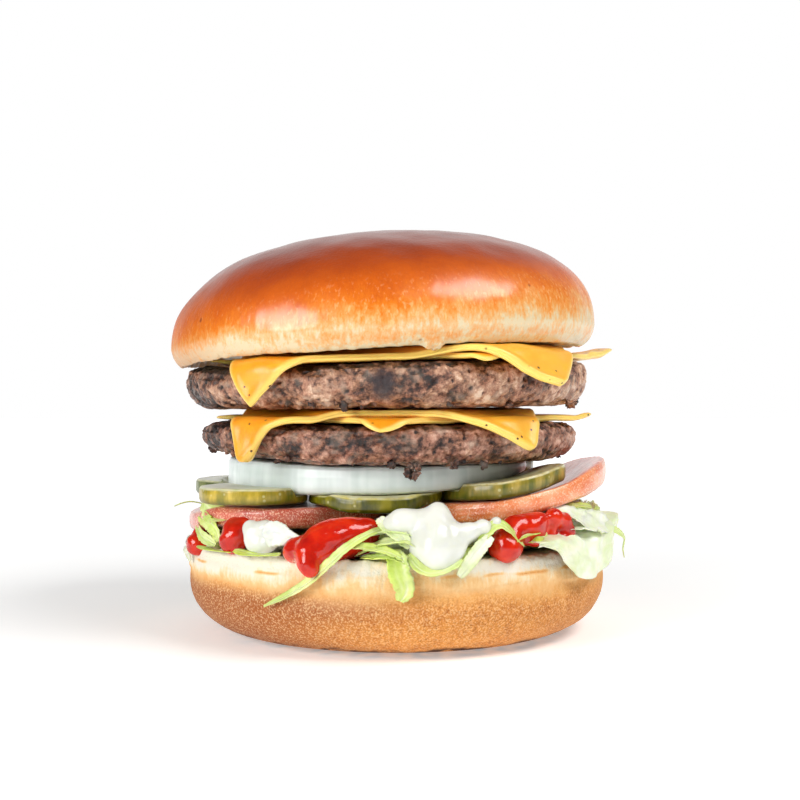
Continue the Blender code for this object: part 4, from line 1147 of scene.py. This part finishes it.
# The stubby end of a leaf's rib, beside the mayonnaise at the left: path, width, thickness and taper.
RIB = (((-31.2, -45.4, 29.0), (-28.4, -47.4, 29.2), (-25.0, -49.2, 28.8), (-20.8, -50.8, 28.0)), 6.8, 2.8, 0.75)

RIB_COLUMNS = 15


def bed_strips():
    """Shreds all round the bed of lettuce, most of them lying in the gap between bun and tomato."""
    rng = np.random.default_rng(404)
    strips = []
    for k in range(110):
        middle = radians(360.0 * (k + rng.uniform(0.0, 0.8)) / 110)
        front = abs(angle_between(middle, -90.0)) < 62.0
        out = rng.uniform(45.0, 50.0) if front else rng.uniform(46.0, 53.5)
        length = radians(rng.uniform(6.0, 17.0))
        bed = float(tomato_bed(out * cos(middle), out * sin(middle)))
        z = rng.uniform(24.6, max(25.2, bed - 1.6))
        hangs = (not front) and rng.random() < 0.3
        slant = rng.choice([-1.0, 1.0])
        path = []
        for step in np.linspace(-1.0, 1.0, 5):
            angle = middle + length * step * slant
            r = out + rng.uniform(-1.3, 1.3) + (2.5 * (step + 1.0) if hangs else 0.0)
            drop = (rng.uniform(0.8, 1.4) * max(step, 0.0) * 6.0) if hangs else 0.0
            r = max(r, 56.6) if hangs and drop > 1.5 else r
            path.append((r * cos(angle), r * sin(angle), z - drop + rng.uniform(-0.6, 0.9)))
        width = rng.uniform(1.6, 3.4) if rng.random() < 0.7 else rng.uniform(4.0, 7.0)
        strips.append((tuple(path), width, rng.uniform(0.0, 1.0), rng.uniform(0.0, 0.9), 1.1))
    for _ in range(44):
        angle, out = radians(rng.uniform(52.0, 132.0)), rng.uniform(24.0, 47.0)
        x, y, way = out * cos(angle), out * sin(angle), rng.uniform(0.0, pi)
        z = float(tomato_bed(x, y)) + rng.uniform(-0.6, 1.6)
        half = rng.uniform(4.0, 8.0)
        path = [(x + half * step * cos(way), y + half * step * sin(way), z + rng.uniform(-0.7, 0.7))
                for step in (-1.0, -0.3, 0.3, 1.0)]
        strips.append((tuple(path), rng.uniform(2.0, 4.6), 1.0, rng.uniform(0.0, 0.8), 1.0))
    return strips


def leaf_sheet():
    """The large pale leaf that lies over the bottom bun's rim at the right, ruffled at its top."""
    rows, columns = 60, 110
    t = np.linspace(0.0, 1.0, rows)[:, None]
    s = np.linspace(0.0, 1.0, columns)[None, :]
    angle = np.radians(-55.0 + 45.0 * s + 0.0 * t)
    ends = np.sin(pi * np.clip(s, 0.03, 0.97)) ** 0.45
    top = 27.4 + 3.6 * smooth(s / 0.6) + 1.0 * np.sin(9.0 * s)
    fall = (3.4 + 9.4 * smooth(s / 0.34) * smooth((1.06 - s) / 0.14)) * ends
    ruffle = noise(np.stack([s * 9.0 + 0.0 * t, t * 2.5 + 0.0 * s, 0.0 * (s + t)], axis=-1), 1.0, 501)
    crinkle = noise(np.stack([s * 26.0 + 0.0 * t, t * 8.0 + 0.0 * s, 0.0 * (s + t)], axis=-1), 1.0, 502)
    edge_curl = (1.0 - t) ** 2 * np.sin(s * 2.0 * pi * 4.5) + 0.5 * t**3 * np.sin(s * 2.0 * pi * 3.0)
    out = 53.2 + 5.2 * smooth(t / 0.36) + 0.6 * np.sin(pi * t) + 1.0 * ruffle + 1.3 * edge_curl + 0.35 * crinkle
    z = top - fall * t**1.15 + 0.5 * ruffle
    grid = np.stack([out * np.cos(angle), out * np.sin(angle), z], axis=-1)
    normal = unit(np.cross(np.gradient(grid, axis=1), np.gradient(grid, axis=0)))
    half = 0.22 * (0.4 + 0.6 * np.sin(pi * np.clip(s, 0.02, 0.98)))[..., None] + 0.0 * grid[..., :1]
    rib = bump((s - 0.35 - 0.2 * t) / 0.2)
    pale = np.clip(0.95 + 0.22 * rib - 0.35 * np.clip(ruffle, 0.0, 1.0) - 0.2 * (1.0 - t) ** 2, 0.0, 1.0)
    vein = bump(np.sin(9.0 * s + 2.0 * t + ruffle) / 0.3) * (0.4 + 0.6 * t)
    return grid - normal * half, grid + normal * half, pale, vein


def make_lettuce():
    points, faces, pale, veins, shade, ribs = [], [], [], [], [], []
    start = 0
    front = [(s, 0.0) for s in STRIPS]
    # Painted shade: the shreds of the bed, lying in the gap under the tomato, are darkened a little.
    bed = [(s, 0.15) for s in bed_strips()]
    sheets = []
    for number, (strip, dark) in enumerate(front + bed):
        path, width, face_up, tone, curl = strip
        steps = 60 if number < len(front) else 34
        sheets.append((*strip_points(path, width, face_up, tone, curl, 700 + 5 * number, steps), dark))
    sheets.append((*leaf_sheet(), 0.0))
    path, width, thickness, taper = RIB
    sheets.append((*strip_points(path, width, 0.0, 1.0, 0.3, 690, 30, RIB_COLUMNS, thickness, taper), 0.0))
    for top, under, tone, vein, dark in sheets:
        rows, columns = top.shape[:2]
        points += [top.reshape(-1, 3), under.reshape(-1, 3)]
        faces += sheet_faces(rows, columns, start)
        start += 2 * rows * columns
        pale += [tone.ravel(), tone.ravel()]
        veins += [vein.ravel(), vein.ravel()]
        shade += [np.full(2 * rows * columns, dark)]
        ribs += [np.full(2 * rows * columns, float(columns == RIB_COLUMNS))]
    fields = {"pale": np.concatenate(pale), "vein": np.concatenate(veins), "shade": np.concatenate(shade),
              "rib": np.concatenate(ribs)}
    finish = leaf_finish()
    new_piece("lettuce_shreds", np.concatenate(points), faces, finish, ["lettuce"], fields)

    columns = 360
    angles = 2.0 * pi * np.arange(columns) / columns
    low = box_mm("bottom_bun")[1][2] + 0.1
    edge = through([(0.05, 0.0), (0.5, 0.0), (0.94, 0.0), (1.0, 0.25), (1.0, 0.6), (0.94, 0.95), (0.8, 1.0),
                    (0.4, 1.0), (0.05, 1.0)], 44)
    radii = edge[:, :1] * (45.5 + wobble(55, 1.5, (3, 5, 8, 11))(angles))
    x, y = radii * np.cos(angles), radii * np.sin(angles)
    heights = low + edge[:, 1:] * (tomato_bed(x, y) - 1.2 - low)
    rings = ring_points((0.0, 0.0), radii, heights, angles)
    push = 1.3 * rough(rings * np.array([1.0, 1.0, 2.2]), 4.0, 56, 3) - 0.3
    rim = smooth((edge[:, :1] - 0.6) / 0.3)
    rings = rings + (push * rim)[..., None] * outward(rings)
    # Painted shade: the core is a dark green body that fills the shaded gaps between bun and tomato, darkest at the
    # front.
    fields = {"pale": 0.2 + 0.4 * noise(rings, 6.0, 57), "shade": 0.55 + 0.17 * smooth(-y / 20.0)}
    ring_piece("lettuce_core", rings, finish, (), fields)


# ---------------------------------------------------------------- stage


def area_light(name, place, target, width, height, power, colour=(1.0, 1.0, 1.0)):
    lamp = bpy.data.lights.new(name, "AREA")
    lamp.shape = "ELLIPSE"
    lamp.size, lamp.size_y = width, height
    lamp.energy = power
    lamp.color = colour
    made = bpy.data.objects.new(name, lamp)
    made.location = place
    direction = bpy.context.scene.cursor.location.copy()
    direction[:] = [t - p for t, p in zip(target, place)]
    made.rotation_euler = direction.to_track_quat("-Z", "Y").to_euler()
    bpy.context.scene.collection.objects.link(made)
    return made


def make_stage():
    scene = bpy.context.scene
    floor = bpy.data.meshes.new("studio_floor")
    floor.from_pydata([(-3, -3, -0.0004), (3, -3, -0.0004), (3, 3, -0.0004), (-3, 3, -0.0004)], [], [(0, 1, 2, 3)])
    # The floor glows though it is no lamp. Its emission rises from 0.3 near the burger to 1.0 far away, lighting the
    # burger from below and whitening the far floor.
    paper = Finish("studio_paper", Roughness=0.9, Specular_IOR_Level=0.1)
    away = paper.node("VectorMath", {"Vector": paper.node("TexCoord").outputs["Object"]}, operation="LENGTH")
    paper.set(Base_Color=paper.mix(paper.noise(120.0), "f2f2f1", "f7f7f6"), Emission_Color=paint("ffffff"),
              Emission_Strength=paper.band(away.outputs["Value"], 0.08, 0.8, 0.3, 1.0))
    floor.materials.append(paper.material)
    stand = bpy.data.objects.new("studio_floor", floor)
    scene.collection.objects.link(stand)

    low, high = CAD_BOUNDS
    middle = (0.0, 0.0, (low[2] + high[2]) / 2.0)
    area_light("softbox_left", (-0.49, -0.47, 0.27), middle, 0.46, 0.32, 3.5)
    area_light("softbox_right", (0.38, -0.25, 0.50), middle, 0.50, 0.30, 3.0)

    world = bpy.data.worlds.new("studio_air")
    world.use_nodes = True
    tree = world.node_tree
    way = tree.nodes.new("ShaderNodeSeparateXYZ")
    tree.links.new(tree.nodes.new("ShaderNodeTexCoord").outputs["Generated"], way.inputs[0])
    level = tree.nodes.new("ShaderNodeMapRange")
    tree.links.new(way.outputs["Y"], level.inputs["Value"])
    for key, value in (("From Min", 0.55), ("From Max", 0.95), ("To Min", 0.16), ("To Max", 1.0)):
        level.inputs[key].default_value = value
    seen = tree.nodes.new("ShaderNodeMath")
    seen.operation = "MAXIMUM"
    tree.links.new(level.outputs["Result"], seen.inputs[0])
    tree.links.new(tree.nodes.new("ShaderNodeLightPath").outputs["Is Camera Ray"], seen.inputs[1])
    tree.links.new(seen.outputs[0], tree.nodes["Background"].inputs["Strength"])
    tree.nodes["Background"].inputs["Color"].default_value = (1.0, 1.0, 1.0, 1.0)
    scene.world = world

    camera = bpy.data.cameras.new("camera")
    camera.angle = 2.0 * atan(0.272 * 400.0 / 350.0)
    camera.clip_start = 0.01
    viewpoint = bpy.data.objects.new("camera", camera)
    viewpoint.location = (0.00095, -0.350, 0.062)
    viewpoint.rotation_euler = (radians(90.0 - 0.2227), 0.0, 0.0)
    scene.collection.objects.link(viewpoint)
    scene.camera = viewpoint
    scene.view_settings.view_transform = "Standard"


# ---------------------------------------------------------------- the burger

make_heel()
make_lettuce()
make_sauce("ketchup", KETCHUP + far_balls(KETCHUP_FAR, 1), (35.0, 2.6, 1.9), ketchup_finish())
make_sauce("mayonnaise", MAYONNAISE + far_balls(MAYONNAISE_FAR, 2), (36.3, 1.5, 0.3), mayonnaise_finish())
make_tomato("tomato_left", tomato_finish("tomato_left_skin", "b9402a", "cf6149", "dd8468"))
make_tomato("tomato_right", tomato_finish("tomato_right_skin", "dc6a34", "ee8a50", "f8b288"))
make_pickle("pickle_left", pickle_finish("pickle_left_peel", "5e6a0a", "a08c1c", "ccb040", "c8cc98"))
make_pickle("pickle_left_back", pickle_finish("pickle_left_back_peel", "2c3c10", "56642a", "84884a", "b4b898"))
make_pickle("pickle_middle", pickle_finish("pickle_middle_peel", "3c4404", "6c6a08", "948c1c", "d0c670"))
make_pickle("pickle_right", pickle_finish("pickle_right_peel", "4a5810", "8a7c24", "b49c48", "bcac6a"))
make_pickle("pickle_right_back", pickle_finish("pickle_right_back_peel", "4d5216", "777226", "95904e", "bdbf92"))
make_pickle("pickle_back", pickle_finish("pickle_back_peel", "565a14", "80782a", "9c9650", "c2c498"))
make_onion()
make_patties()
for cheese in CHEESE:
    make_cheese(cheese, cheese_finish(cheese + "_melt", "f0920c", "f6a620"))
make_crown()
make_stage()
